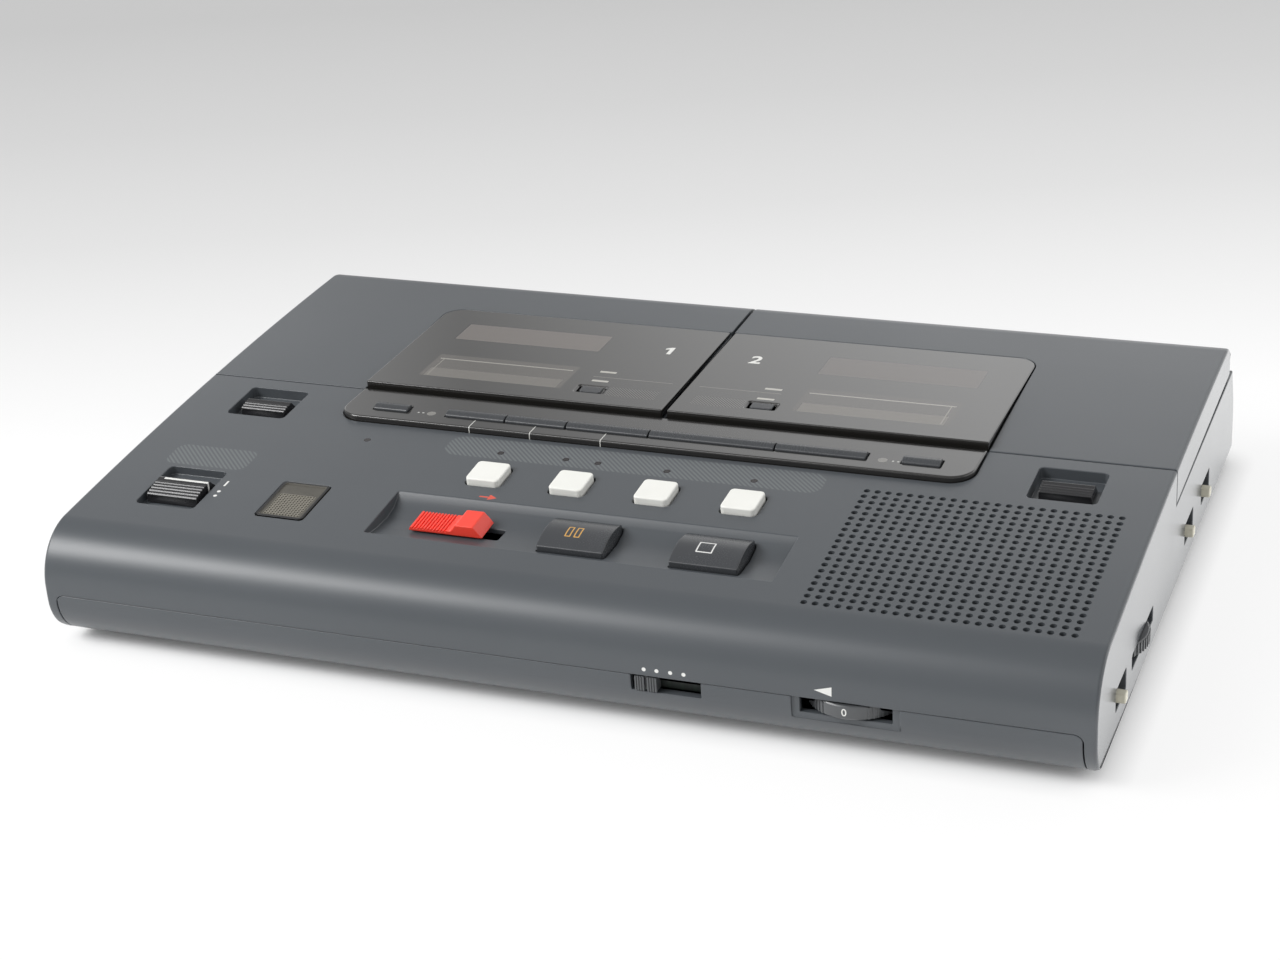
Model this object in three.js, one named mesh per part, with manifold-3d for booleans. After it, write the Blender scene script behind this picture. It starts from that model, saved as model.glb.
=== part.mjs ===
// Double cassette deck: a flat desk unit with two lids over the cassette wells, a strip of keys in
// front of them, and a rounded front with buttons, sliders, a speaker grille and thumb wheels.
// Millimetres. X to the right, Y to the back, Z up. The origin is on the table, under the middle.
import * as THREE from 'three';
import { mergeVertices } from 'three/addons/utils/BufferGeometryUtils.js';
import Module from 'manifold-3d';

const wasm = await Module();
wasm.setup();

// Case
const footHeight = 2;
const wall = 2.5;
const cheek = 3.2;
const caseEdge = 1;
const bottomEdgeRadius = 4.2;
const rearCornerRadius = 4.5;
const archRise = 8.28;
const summitFromRear = 14.5;
const noseRadius = 16;
const noseFlat = 4;
const noseFootRadius = 12.97;
const rearFootRadius = 6;
const rearLean = 8;
const rimRise = 1.5;
const partingBelowNose = 2;
const partingCorner = 2.5;
const partGap = 0.3;
const overrun = 2;
const runningFit = 0.05;

// Lids and their hinges
const lidSetback = 10.5;
const lidThickness = 12.85;
const lidFrontMargin = 10;
const lidRearMargin = 15.7;
const lidGap = 0.6;
const lidMidGap = 1;
const lidSkin = 2.4;
const lidWall = 1.8;
const lidRearRound = 10;
const skirtGapFront = 0.6;
const skirtGapRear = 1.7;
const hingePinRadius = 1.05;
const hingeInset = 3.6;
const lidSwing = 42;
const hingeGap = 0.45;
const earRadius = 2;
const earThickness = 3;
const earInner = 9;
const earOuter = 10.2;
const ribThickness = 1.8;
const ribDepth = 4;

// Dark panels over the lids
const panelInnerEdge = 0.8;
const panelFrontSetback = 0.6;
const panelShort = 2.9;
const panelProud = 2.2;
const panelSeat = 1.2;
const panelCorner = 6;
const tapeWindowWidth = 48;
const tapeWindowDepth = 12;
const tapeWindowFromRear = 17;
const counterWindowShort = 54.1;
const counterWindowDepth = 16.5;
const counterWindowFromFront = 16.4;
const displayFlange = 2.5;
const displayFlangeThickness = 1.2;
const counterButtonWidth = 6.6;
const counterButtonDepth = 3.4;
const counterButtonFromFront = 9.7;
const counterButtonToWindow = 5.75;
const counterButtonSunk = 0.5;
const counterButtonFoot = 0.6;
const counterRecessWidth = 9.4;
const counterRecessDepth = 5;

// Cassette and its holder
const cassetteWidth = 100.4;
const cassetteDepth = 63.8;
const cassetteThickness = 12;
const hubSpacing = 42.5;
const hubFromTapeEdge = 34.5;
const cassetteSideClear = 0.8;
const cassetteFaceClear = 0.1;
const cassetteEndClear = 0.6;
const holderWall = 1.6;
const holderFloor = 1.1;
const holderLip = 7;
const deckTabGap = 0.4;
const holderDrop = 19.15;
const holderFloat = 0.6;
const wellGap = 1.5;
const wellLedge = 2.1;

// Tape mechanisms
const deckPlateThickness = 1.5;
const deckPlateMargin = 1;
const deckTabWidth = 8;
const spindleShaftRadius = 1;
const spindleFlangeRadius = 5.2;
const spindleFlange = 0.9;
const spindleHubRadius = 2.3;
const spindleHeight = 9.5;
const spindleTip = 1.6;
const spindleFinReach = 3.9;
const spindleFinThickness = 0.9;
const capstanRadius = 1;
const capstanHeight = 9;
const capstanX = 14;
const capstanFromTapeEdge = 4.5;
const flywheelRadius = 14;
const flywheelThickness = 3.5;
const rollerRadius = 3;
const rollerHeight = 6.5;
const rollerPinRadius = 0.9;
const rollerFromCapstan = 8.1;
const carriageThickness = 1;
const carriageWidth = 44;
const carriageTravel = 3.8;
const headWidth = 12;
const headDepth = 4.6;
const headHeight = 9.2;
const headSlot = 4;

// Key strip
const barDepth = 19.3;
const barProudFront = 2;
const barProudRear = 0.6;
const barSeat = 0.8;
const barCorner = 7;
const keyRowFromFront = 7.5;
const keyDepth = 4.2;
const keyProud = 1;
const keySunk = 1.4;
const keyGap = 0.4;
const keyStem = 1.8;
const keyStemLength = 6;
const keyStemShare = 0.6;
const windKeyWidth = 18.6;
const stopWideKeyWidth = 25;
const playKeyWidth = 37.2;
const turnKeyWidth = 26.1;
const deckKeyWidth = 10.8;
const deckKeyFromRow = 11.35;
const deckKeyMargin = 9.8;
const keyRowOffset = 1.05;

// Speaker and its grille
const holePitch = 3;
const holeColumns = 24;
const holeRows = 20;
const holeRadius = 0.95;
const grilleMargin = 2.2;
const grilleToSide = 6.9;
const grilleToTip = 13.9;
const grilleThickness = 2;
const grilleLedge = 1.2;
const grilleLedgeThickness = 1.5;
const speakerReach = 0.8;
const speakerRimThickness = 1.5;
const speakerDepth = 17;
const magnetRadius = 15;
const magnetHeight = 7;
const coneNeck = 9;

// Controls on the top
const buttonWidth = 10;
const buttonDepth = 10.4;
const buttonCorner = 1.4;
const buttonProud = 1.8;
const buttonPitch = 25;
const buttonRowX = 1.4;
const buttonRowToTray = 12.8;
const buttonClear = 0.5;
const buttonFlange = 1;
const buttonFlangeThickness = 1.2;
const trayWidth = 116.5;
const trayX = 0.3;
const trayFromSeam = 56.2;
const trayDeepest = 9;
const trayDepth = 22.5;
const traySink = 3.6;
const trayFrontSink = 1.7;
const trayFloor = 1.6;
const bigKeyWidth = 19;
const bigKeyDepth = 15;
const bigKeyFromTrayRear = 3;
const bigKeyCrown = 1.7;
const bigKeyFrontSunk = 0.9;
const pauseKeyX = 0.4;
const stopKeyX = 38;
const recordLength = 22;
const recordDepth = 8.6;
const recordX = -37;
const recordFromTrayRear = 7.1;
const recordLow = 1.1;
const recordHigh = 1;
const recordBlockLength = 7;
const recordRibs = 7;
const recordRibPitch = 1.2;
const recordRibDepth = 0.35;
const recordTravel = 3.5;
const recordStem = 3;
const recordSlotWidth = 6;
const ejectWidth = 19;
const ejectDepth = 17.5;
const ejectSink = 3.4;
const ejectCorner = 1.5;
const ejectFromSeam = 14.9;
const ejectToBar = 16;
const ejectToSide = 17;
const ejectToGrille = 3.25;
const ejectKnobWidth = 14.4;
const ejectKnobLength = 8;
const ejectKnobTop = 4.6;
const ejectTravel = 3.6;
const powerWidth = 18.5;
const powerDepth = 21;
const powerSink = 2.6;
const powerFromSeam = 67.3;
const powerKnobClear = 1.25;
const powerKnobLength = 12;
const powerKnobTop = 9;
const powerKnobProud = 1.5;
const powerRibs = 5;
const powerRibPitch = 1.5;
const powerRibDepth = 0.35;
const sliderFoot = 2;
const sliderFootThickness = 1.4;
const sliderStemWidth = 4;
const sliderStemDepth = 3;
const powerTravelOff = 2.3;
const powerTravelHold = 3;
const micWidth = 14.5;
const micDepth = 18.6;
const micCorner = 1;
const micFromPower = 35.7;
const micFromSeam = 67.5;
const micSink = 0.9;
const micFrame = 1.1;
const micStep = 0.4;

// Controls on the front
const volumeFromSide = 63;
const volumeRadius = 13;
const volumeProud = 1;
const volumeThickness = 3.8;
const volumeTeeth = 18;
const volumeToothDepth = 0.5;
const volumeSlotWidth = 24;
const volumeRecessWidth = 28;
const volumeRecessDepth = 0.8;
const volumeRecessDrop = 1.6;
const monitorX = 37;
const monitorSlotRoom = 0.3;
const monitorKnobWidth = 6;
const monitorKnobHeight = 4;
const monitorKnobProud = 0.2;
const monitorNotch = 0.8;
const monitorTravel = 10.8;
const monitorSlotClear = 1.1;
const potShaftRadius = 1.5;
const wheelSlack = 0.4;

// Controls on the right side
const sideSlotLength = 13;
const sideSlotHeight = 6;
const sideSlotCorner = 0.6;
const sideSlotMiddle = 14.2;
const sideKnobLength = 4;
const sideKnobHeight = 3.4;
const sideKnobProud = 2.8;
const sideKnobTravel = 6;
const sideSwitchBehindSeam = 20.9;
const sideSwitchPitch = 26.3;
const sideSwitchFromTip = 28.7;
const sideWheelFromSwitch = 27.8;
const sideWheelRadius = 14;
const sideWheelProud = 1.8;
const sideWheelThickness = 3.6;
const sideWheelTeeth = 16;
const sideWheelToothDepth = 0.45;
const sideWheelSlot = 28;

// Sockets on the left side
const jackBoreRadius = 1.8;
const jackSleeveRadius = 3.6;
const jackPitch = 14;
const jackCount = 3;
const jackFromTip = 49.1;
const jackDepth = 14;
const jackHeight = 9;
const inletWidth = 19;
const inletHeight = 11;
const inletDepth = 16;
const inletFromRear = 56.1;
const inletCavityWidth = 13;
const inletCavityHeight = 7.6;
const inletCavityDepth = 9;
const inletPinRadius = 1.15;
const inletPinSpacing = 8.6;

// Inside and underneath
const boardThickness = 1.6;
const boardTop = 9.6;
const boardSideClear = 3.5;
const boardFromRear = 43.1;
const boardFrontClear = 2.3;
const postRadius = 3;
const screwWellRadius = 3;
const screwBossWall = 1.6;
const screwBoardGap = 0.4;
const padRadius = 6.5;
const padInset = 1;
const padTaper = 0.6;
const padFromSide = 22;
const padFromFront = 24;
const padFromRear = 20;

// Derived widths: the key strip, its keys and the eject recesses beside it set the width
const keyWidths = [windKeyWidth, windKeyWidth, stopWideKeyWidth, playKeyWidth, turnKeyWidth];
const keyRowWidth = keyWidths.reduce((sum, width) => sum + width + keyGap, -keyGap);
const keyRowStart = keyRowOffset - keyRowWidth / 2;
const deckKeyX = keyRowWidth / 2 + deckKeyFromRow + deckKeyWidth / 2;
const barWidth = 2 * (deckKeyX + deckKeyWidth / 2 + deckKeyMargin);
const half = barWidth / 2 + ejectToBar + ejectWidth + ejectToSide;
const innerHalf = half - cheek;
const lowerHalf = innerHalf - partGap;
const panelWidth = barWidth / 2 - panelInnerEdge;
const panelOuterEdge = panelInnerEdge + panelWidth;
const holderHalf = cassetteWidth / 2 + cassetteSideClear + holderWall;
const windowCentreX = holderHalf + wellGap + 2 * wellLedge + deckTabGap;
const counterWindowWidth = cassetteWidth - counterWindowShort;
const counterButtonFromCentre = (counterWindowWidth + counterButtonWidth) / 2 + counterButtonToWindow;
const counterButtonX = windowCentreX - counterButtonFromCentre;
const ejectX = half - ejectToSide - ejectWidth / 2;
const powerX = -ejectX;
const powerKnobWidth = powerWidth - 2 * powerKnobClear;
const micX = powerX + micFromPower;
const volumeX = half - volumeFromSide;
const monitorSlotHeight = monitorKnobHeight + 2 * monitorSlotRoom;
const monitorSlotWidth = monitorKnobWidth + monitorTravel + 2 * monitorSlotClear;
const grilleWidth = (holeColumns - 1) * holePitch + 2 * grilleMargin;
const grilleX = half - grilleToSide - grilleWidth / 2;

// Derived depths: the cassette sets the lids, the speaker grille and the eject recess the front
const grilleLength = (holeRows - 1) * holePitch + 2 * grilleMargin;
const speakerRadius = grilleLength / 2 + speakerReach;
const grilleFromSeam = ejectFromSeam + ejectDepth / 2 + ejectToGrille;
const frontDepth = grilleFromSeam + grilleLength + grilleToTip;
const lidDepth = lidFrontMargin + cassetteDepth + lidRearMargin;
const caseDepth = frontDepth + lidDepth + lidSetback;
const rearY = caseDepth / 2;
const noseTipY = -caseDepth / 2;
const summitY = rearY - summitFromRear;
const lidRearY = rearY - lidSetback;
const lidFrontY = lidRearY - lidDepth;
const stepY = lidFrontY - lidGap;
const rearTopY = rearY - rearLean;
const tapeEdgeY = lidRearY - lidRearMargin - cassetteDepth;
const hubY = tapeEdgeY + hubFromTapeEdge;
const capstanY = tapeEdgeY + capstanFromTapeEdge;
const rollerY = capstanY - rollerFromCapstan;
const carriageDepth = 2 * (rollerFromCapstan - carriageTravel - capstanRadius - partGap);
const panelDepth = cassetteDepth - panelShort;
const panelFrontY = lidFrontY + panelFrontSetback;
const panelRearY = panelFrontY + panelDepth;
const counterWindowY = panelFrontY + counterWindowFromFront;
const counterButtonY = panelFrontY + counterButtonFromFront;
const tapeWindowY = panelRearY - tapeWindowFromRear;
const ejectY = lidFrontY - ejectFromSeam;
const grilleY = lidFrontY - grilleFromSeam - grilleLength / 2;
const trayRearY = lidFrontY - trayFromSeam;
const buttonRowY = trayRearY + buttonRowToTray;
const bigKeyY = trayRearY - bigKeyFromTrayRear - bigKeyDepth / 2;
const recordY = trayRearY - recordFromTrayRear - recordDepth / 2;
const powerY = lidFrontY - powerFromSeam;
const micY = lidFrontY - micFromSeam;
const volumeY = noseTipY - volumeProud + volumeRadius;
const sideSwitchY = lidFrontY + sideSwitchBehindSeam;
const sideFrontY = noseTipY + sideSwitchFromTip;
const sideSwitchPlaces = [sideSwitchY + sideSwitchPitch, sideSwitchY, sideFrontY];
const sideWheelX = half + sideWheelProud - sideWheelRadius;
const sideWheelY = sideFrontY + sideWheelFromSwitch;
const jackFirstY = noseTipY + jackFromTip;
const inletY = rearY - inletFromRear;
const boardRearY = rearY - boardFromRear;

// Derived heights
const noseY = noseTipY + noseRadius;
const noseZ = footHeight + noseFootRadius + noseFlat;
const noseReach = Math.max(noseRadius, noseFootRadius);
const noseDrop = noseRadius + archRise;
const caseHeight = noseZ + noseDrop;
const topRadius = ((summitY - noseY) ** 2 + noseDrop ** 2 - noseRadius ** 2) / (2 * archRise);
const archCentreZ = caseHeight - topRadius;
const noseAngle = Math.atan2(noseZ - archCentreZ, noseY - summitY);
const partingHeight = noseZ - partingBelowNose;
const rimFront = caseHeight - lidThickness;
const holderBottom = caseHeight - holderDrop;
const deckPlateTop = holderBottom - holderFloat;
const cassetteBottom = holderBottom + holderFloor;
const cassetteTop = cassetteBottom + cassetteThickness + 2 * cassetteFaceClear;
const floorTop = footHeight + wall;
const boardBottom = boardTop - boardThickness;
const screwWellDepth = boardBottom - footHeight - screwBossWall - screwBoardGap;
const footRise = footHeight + noseFootRadius - boardBottom;
const footInside = Math.sqrt((noseFootRadius - wall) ** 2 - footRise ** 2);
const boardFrontY = noseTipY + noseFootRadius - footInside + boardFrontClear;
const volumeMiddle = partingHeight - wheelSlack - volumeThickness / 2;
const monitorMiddle = partingHeight - monitorSlotHeight / 2;
const jackMiddle = boardTop + jackHeight / 2;
const inletMiddle = boardTop + partGap + inletHeight / 2;
const lidRoundY = lidRearY - lidRearRound;
const lidRoundZ = topAt(lidRoundY) - lidRearRound;
const hingeZ = rimAt(lidRearY) + hingeGap + hingeInset;
const hingeBend = Math.asin((hingeZ - lidRoundZ) / (lidRearRound - hingeInset));
const hingeY = lidRoundY + (lidRearRound - hingeInset) * Math.cos(hingeBend);

const turn = Math.PI / 180;
const X = new THREE.Vector3(1, 0, 0);
const Y = new THREE.Vector3(0, 1, 0);
const Z = new THREE.Vector3(0, 0, 1);

// Surface of the arched top
function topAt(y) {
  return archCentreZ + Math.sqrt(topRadius ** 2 - (y - summitY) ** 2);
}

function slopeAt(y) {
  return Math.asin((summitY - y) / topRadius);
}

function surfaceFrame(x, y) {
  const frame = new THREE.Matrix4().makeRotationX(slopeAt(y));
  return frame.setPosition(x, y, topAt(y));
}

// Top of the case under the lids, and the lower edge of the lids
function rimAt(y) {
  return rimFront + rimRise * (y - stepY) / (rearTopY - stepY);
}

function skirtAt(y) {
  const share = (y - lidFrontY) / lidDepth;
  return rimAt(y) + skirtGapFront + (skirtGapRear - skirtGapFront) * share;
}

// Solids and meshes
function solidOf(geometry) {
  const bare = geometry.clone();
  bare.deleteAttribute('normal');
  bare.deleteAttribute('uv');
  const merged = mergeVertices(bare);
  const mesh = new wasm.Mesh({
    numProp: 3,
    vertProperties: new Float32Array(merged.attributes.position.array),
    triVerts: new Uint32Array(merged.index.array),
  });
  return new wasm.Manifold(mesh);
}

function geometryOf(solid) {
  const mesh = solid.getMesh();
  const geometry = new THREE.BufferGeometry();
  geometry.setAttribute('position', new THREE.BufferAttribute(new Float32Array(mesh.vertProperties), 3));
  geometry.setIndex(new THREE.BufferAttribute(new Uint32Array(mesh.triVerts), 1));
  geometry.computeVertexNormals();
  return geometry;
}

function join(...geometries) {
  const solids = geometries.flat().map(solidOf);
  return geometryOf(solids.reduce((sum, next) => sum.add(next)));
}

function cut(geometry, ...tools) {
  const solids = tools.flat().map(solidOf);
  return geometryOf(solids.reduce((rest, next) => rest.subtract(next), solidOf(geometry)));
}

function overlap(...geometries) {
  const solids = geometries.map(solidOf);
  return geometryOf(solids.reduce((rest, next) => rest.intersect(next)));
}

// Outlines
function arc(centreX, centreY, radius, from, to, steps) {
  const points = [];
  for (let i = 0; i <= steps; i += 1) {
    const angle = from + (to - from) * i / steps;
    points.push([centreX + radius * Math.cos(angle), centreY + radius * Math.sin(angle)]);
  }
  return points;
}

function outline(points) {
  return new THREE.Shape(points.map(([x, y]) => new THREE.Vector2(x, y)));
}

function roundedRectangle(width, height, radius, x = 0, y = 0, steps = 1) {
  const right = x + width / 2 - radius;
  const left = x - width / 2 + radius;
  const top = y + height / 2 - radius;
  const bottom = y - height / 2 + radius;
  return outline([
    ...arc(right, bottom, radius, -90 * turn, 0, steps),
    ...arc(right, top, radius, 0, 90 * turn, steps),
    ...arc(left, top, radius, 90 * turn, 180 * turn, steps),
    ...arc(left, bottom, radius, 180 * turn, 270 * turn, steps),
  ]);
}

function circle(radius, sides, x = 0, y = 0) {
  return outline(arc(x, y, radius, 0, 360 * turn, sides).slice(0, -1));
}

// Flat-sided hole that a round pin of the given radius turns in
function boreRadius(pinRadius, sides) {
  return (pinRadius + runningFit) / Math.cos(Math.PI / sides);
}

// Prisms along each axis, from one place to another, with an optional bevel on both ends
function prism(shape, length, bevel) {
  return new THREE.ExtrudeGeometry(shape, {
    depth: length - 2 * bevel,
    bevelEnabled: bevel > 0,
    bevelThickness: bevel,
    bevelSize: bevel,
    bevelOffset: -bevel,
    bevelSegments: 1,
    steps: 1,
  }).translate(0, 0, bevel);
}

function prismX(shape, from, to, bevel = 0) {
  const turned = new THREE.Matrix4().makeBasis(Y, Z, X);
  return prism(shape, to - from, bevel).applyMatrix4(turned).translate(from, 0, 0);
}

function prismY(shape, from, to, bevel = 0) {
  const turned = new THREE.Matrix4().makeBasis(X, Z, Y.clone().negate());
  return prism(shape, to - from, bevel).applyMatrix4(turned).translate(0, to, 0);
}

function prismZ(shape, from, to, bevel = 0) {
  return prism(shape, to - from, bevel).translate(0, 0, from);
}

function box(x0, x1, y0, y1, z0, z1) {
  const geometry = new THREE.BoxGeometry(x1 - x0, y1 - y0, z1 - z0);
  return geometry.translate((x0 + x1) / 2, (y0 + y1) / 2, (z0 + z1) / 2);
}

function boxAcross(side, near, far, y0, y1, z0, z1) {
  return box(Math.min(side * near, side * far), Math.max(side * near, side * far), y0, y1, z0, z1);
}

function onSurface(geometry, x, y) {
  return geometry.applyMatrix4(surfaceFrame(x, y));
}

// Side view of the case, drawn in by an inset for its hollow
function caseOutline(inset) {
  const rearFootY = rearY - rearFootRadius;
  const lean = Math.atan2(rearLean, rimAt(rearTopY) - footHeight - rearFootRadius);
  const archRadius = topRadius - inset;
  const stepAngle = Math.acos((stepY - inset - summitY) / archRadius);
  const noseFootY = noseTipY + noseFootRadius;
  return outline([
    ...arc(rearFootY, footHeight + rearFootRadius, rearFootRadius - inset, -90 * turn, lean, 4),
    [rearTopY - inset, rimAt(rearTopY) - inset],
    [stepY - inset, rimAt(stepY) - inset],
    ...arc(summitY, archCentreZ, archRadius, stepAngle, noseAngle, 5),
    ...arc(noseY, noseZ, noseRadius - inset, noseAngle, 180 * turn, 7).slice(1),
    ...arc(noseFootY, footHeight + noseFootRadius, noseFootRadius - inset, 180 * turn, 270 * turn, 5),
  ]);
}

// Rounded lower edges and rear corners, shared by both halves of the case
function caseEnvelope() {
  const low = footHeight + bottomEdgeRadius;
  const high = caseHeight + overrun;
  const section = prismY(outline([
    ...arc(half - bottomEdgeRadius, low, bottomEdgeRadius, -90 * turn, 0, 3),
    [half, high],
    [-half, high],
    ...arc(bottomEdgeRadius - half, low, bottomEdgeRadius, 180 * turn, 270 * turn, 3),
  ]), noseTipY - overrun, rearY + overrun);
  return overlap(section, planEnvelope(rearY));
}

function planEnvelope(back) {
  const corner = back - rearCornerRadius;
  return prismZ(outline([
    [-half, noseTipY - overrun],
    [half, noseTipY - overrun],
    ...arc(half - rearCornerRadius, corner, rearCornerRadius, 0, 90 * turn, 3),
    ...arc(rearCornerRadius - half, corner, rearCornerRadius, 90 * turn, 180 * turn, 3),
  ]), 0, caseHeight + 2 * overrun);
}

// Space between the cheeks that the lower cabinet fills
function lowerSpace(gap) {
  const top = partingHeight - gap;
  const width = 2 * (innerHalf - gap);
  const front = prismY(
    roundedRectangle(width, 2 * top, partingCorner, 0, 0, 3),
    noseTipY - overrun,
    noseTipY + noseReach,
  );
  const back = rearY - rearFootRadius - gap;
  const floor = box(gap - innerHalf, innerHalf - gap, noseY - overrun, back, -overrun, floorTop + gap);
  return join(front, floor);
}

// Upper cabinet

function pocket(width, depth, corner, sink, x, y) {
  const outer = roundedRectangle(width + 2 * trayFloor, depth + 2 * trayFloor, corner);
  return onSurface(prismZ(outer, -sink - trayFloor, -wall / 2), x, y);
}

function recess(width, depth, corner, sink, x, y) {
  return onSurface(prismZ(roundedRectangle(width, depth, corner), -sink, overrun), x, y);
}

function trayOutline(drop) {
  const rear = 0;
  const front = -trayDepth;
  const deep = -trayDeepest;
  const reach = drop > 0 ? -wall / 2 : overrun;
  return outline([
    [rear + drop, reach],
    [front - drop, reach],
    [front - drop, -trayFrontSink - drop],
    [(front + deep) / 2, -(trayFrontSink + 2 * traySink) / 3 - drop],
    [deep, -traySink - drop],
    [deep / 2, -traySink * 0.8 - drop],
    [deep / 5, -traySink * 0.45 - drop],
    [rear + drop, -drop],
  ]);
}

function trayPrism(drop) {
  const geometry = prismX(trayOutline(drop), -trayWidth / 2 - drop, trayWidth / 2 + drop);
  return onSurface(geometry, trayX, trayRearY);
}

function upperCabinet() {
  const shell = cut(
    overlap(prismX(caseOutline(0), -half, half, caseEdge), caseEnvelope()),
    prismX(caseOutline(wall), -innerHalf, innerHalf),
    lowerSpace(0),
  );
  const grilleSeat = grilleThickness + partGap;
  const grilleBase = grilleWidth + 2 * (grilleLedge + partGap);
  const added = [
    trayPrism(trayFloor),
    pocket(powerWidth, powerDepth, ejectCorner, powerSink, powerX, powerY),
    pocket(micWidth, micDepth, micCorner, micSink, micX, micY),
    onSurface(
      prismZ(
        roundedRectangle(grilleBase, grilleLength + 2 * (grilleLedge + partGap), micCorner),
        -grilleSeat - grilleLedgeThickness,
        -wall / 2,
      ),
      grilleX,
      grilleY,
    ),
  ];
  const removed = [
    trayPrism(0),
    recess(powerWidth, powerDepth, ejectCorner, powerSink, powerX, powerY),
    sliderSlot(powerKnobStemLength(), powerTravelOff, powerTravelHold, powerX, powerY),
    recess(micWidth + 2 * partGap, micDepth + 2 * partGap, micCorner, micSink, micX, micY),
    recess(
      grilleWidth + 2 * partGap,
      grilleLength + 2 * partGap,
      partGap,
      grilleSeat,
      grilleX,
      grilleY,
    ),
    recess(
      grilleWidth - 2 * grilleLedge,
      grilleLength - 2 * grilleLedge,
      partGap,
      grilleSeat + grilleLedgeThickness + overrun,
      grilleX,
      grilleY,
    ),
    barPrism(barSeat, partGap, overrun),
    keyStemSlot(keyRowStart, keyRowStart + keyRowWidth),
    recordSlot(),
    bigKeyHole(pauseKeyX),
    bigKeyHole(stopKeyX),
    boardSlots(),
  ];
  for (const side of [-1, 1]) {
    added.push(pocket(ejectWidth, ejectDepth, ejectCorner, ejectSink, side * ejectX, ejectY));
    removed.push(recess(ejectWidth, ejectDepth, ejectCorner, ejectSink, side * ejectX, ejectY));
    removed.push(sliderSlot(sliderStemDepth, 0, ejectTravel, side * ejectX, ejectY));
    removed.push(keyStemSlot(side * deckKeyX - deckKeyWidth / 2, side * deckKeyX + deckKeyWidth / 2));
    removed.push(boxAcross(
      side,
      windowCentreX - holderHalf - wellGap,
      windowCentreX + holderHalf + wellGap,
      stepY + wellLedge,
      hingeY - ribDepth - wellLedge,
      rimFront - wall - overrun,
      rimFront + rimRise + overrun,
    ));
  }
  for (const x of buttonPlaces()) {
    const clear = 2 * buttonClear;
    removed.push(recess(buttonWidth + clear, buttonDepth + clear, buttonCorner, wall * 2, x, buttonRowY));
  }
  const ears = [];
  for (const x of earPlaces()) {
    ears.push(hingeEar(x));
  }
  return cut(join(shell, ears, added), removed.flat());
}

function earPlaces() {
  const outer = innerHalf - earOuter;
  return [-outer, -earInner, earInner, outer];
}

function hingeEar(x) {
  const rim = rimAt(hingeY) - wall / 2;
  const tab = prismX(outline([
    ...arc(hingeY, hingeZ, earRadius, 0, 180 * turn, 6),
    [hingeY - earRadius, rim],
    [hingeY + earRadius, rim],
  ]), x - earThickness / 2, x + earThickness / 2);
  const sides = 12;
  const hole = circle(boreRadius(hingePinRadius, sides), sides, hingeY, hingeZ);
  return cut(tab, prismX(hole, x - earThickness, x + earThickness));
}

// Openings in the side walls for switches, wheel and sockets
function boardSlots() {
  const tools = [];
  for (const y of sideSwitchPlaces) {
    const shape = roundedRectangle(sideSlotLength, sideSlotHeight, sideSlotCorner, y, sideSlotMiddle);
    tools.push(prismX(shape, innerHalf - overrun, half + overrun));
  }
  const slot = sideWheelThickness + 2 * wheelSlack;
  const wheelShape = roundedRectangle(sideWheelSlot, slot, sideSlotCorner, sideWheelY, sideSlotMiddle);
  tools.push(prismX(wheelShape, innerHalf - overrun, half + overrun));
  for (const y of jackPlaces()) {
    const shape = circle(jackSleeveRadius + partGap, 10, y, jackMiddle);
    tools.push(prismX(shape, -half - overrun, overrun - innerHalf));
  }
  const inlet = roundedRectangle(
    inletWidth + 2 * partGap,
    inletHeight + 2 * partGap,
    sideSlotCorner,
    inletY,
    inletMiddle,
  );
  tools.push(prismX(inlet, -half - overrun, overrun - innerHalf));
  return tools;
}

// Lower cabinet with screw wells, foot seats, board posts and the notches along its upper edge

function screwPlaces() {
  const x = half - 2 * padFromSide;
  const front = noseY + postRadius;
  const rear = rearY - rearFootRadius - padFromRear / 2;
  return [[-x, front], [0, front], [x, front], [-x, rear], [0, rear], [x, rear]];
}

function postPlaces() {
  const x = half - padFromSide;
  const front = boardFrontY + 2 * postRadius;
  const rear = boardRearY - 2 * postRadius;
  return [[-x, front], [0, front], [x, front], [-x, rear], [0, rear], [x, rear]];
}

function padPlaces() {
  const x = half - padFromSide;
  const front = noseTipY + padFromFront;
  const rear = rearY - padFromRear;
  return [[-x, front], [x, front], [-x, rear], [x, rear]];
}

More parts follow.
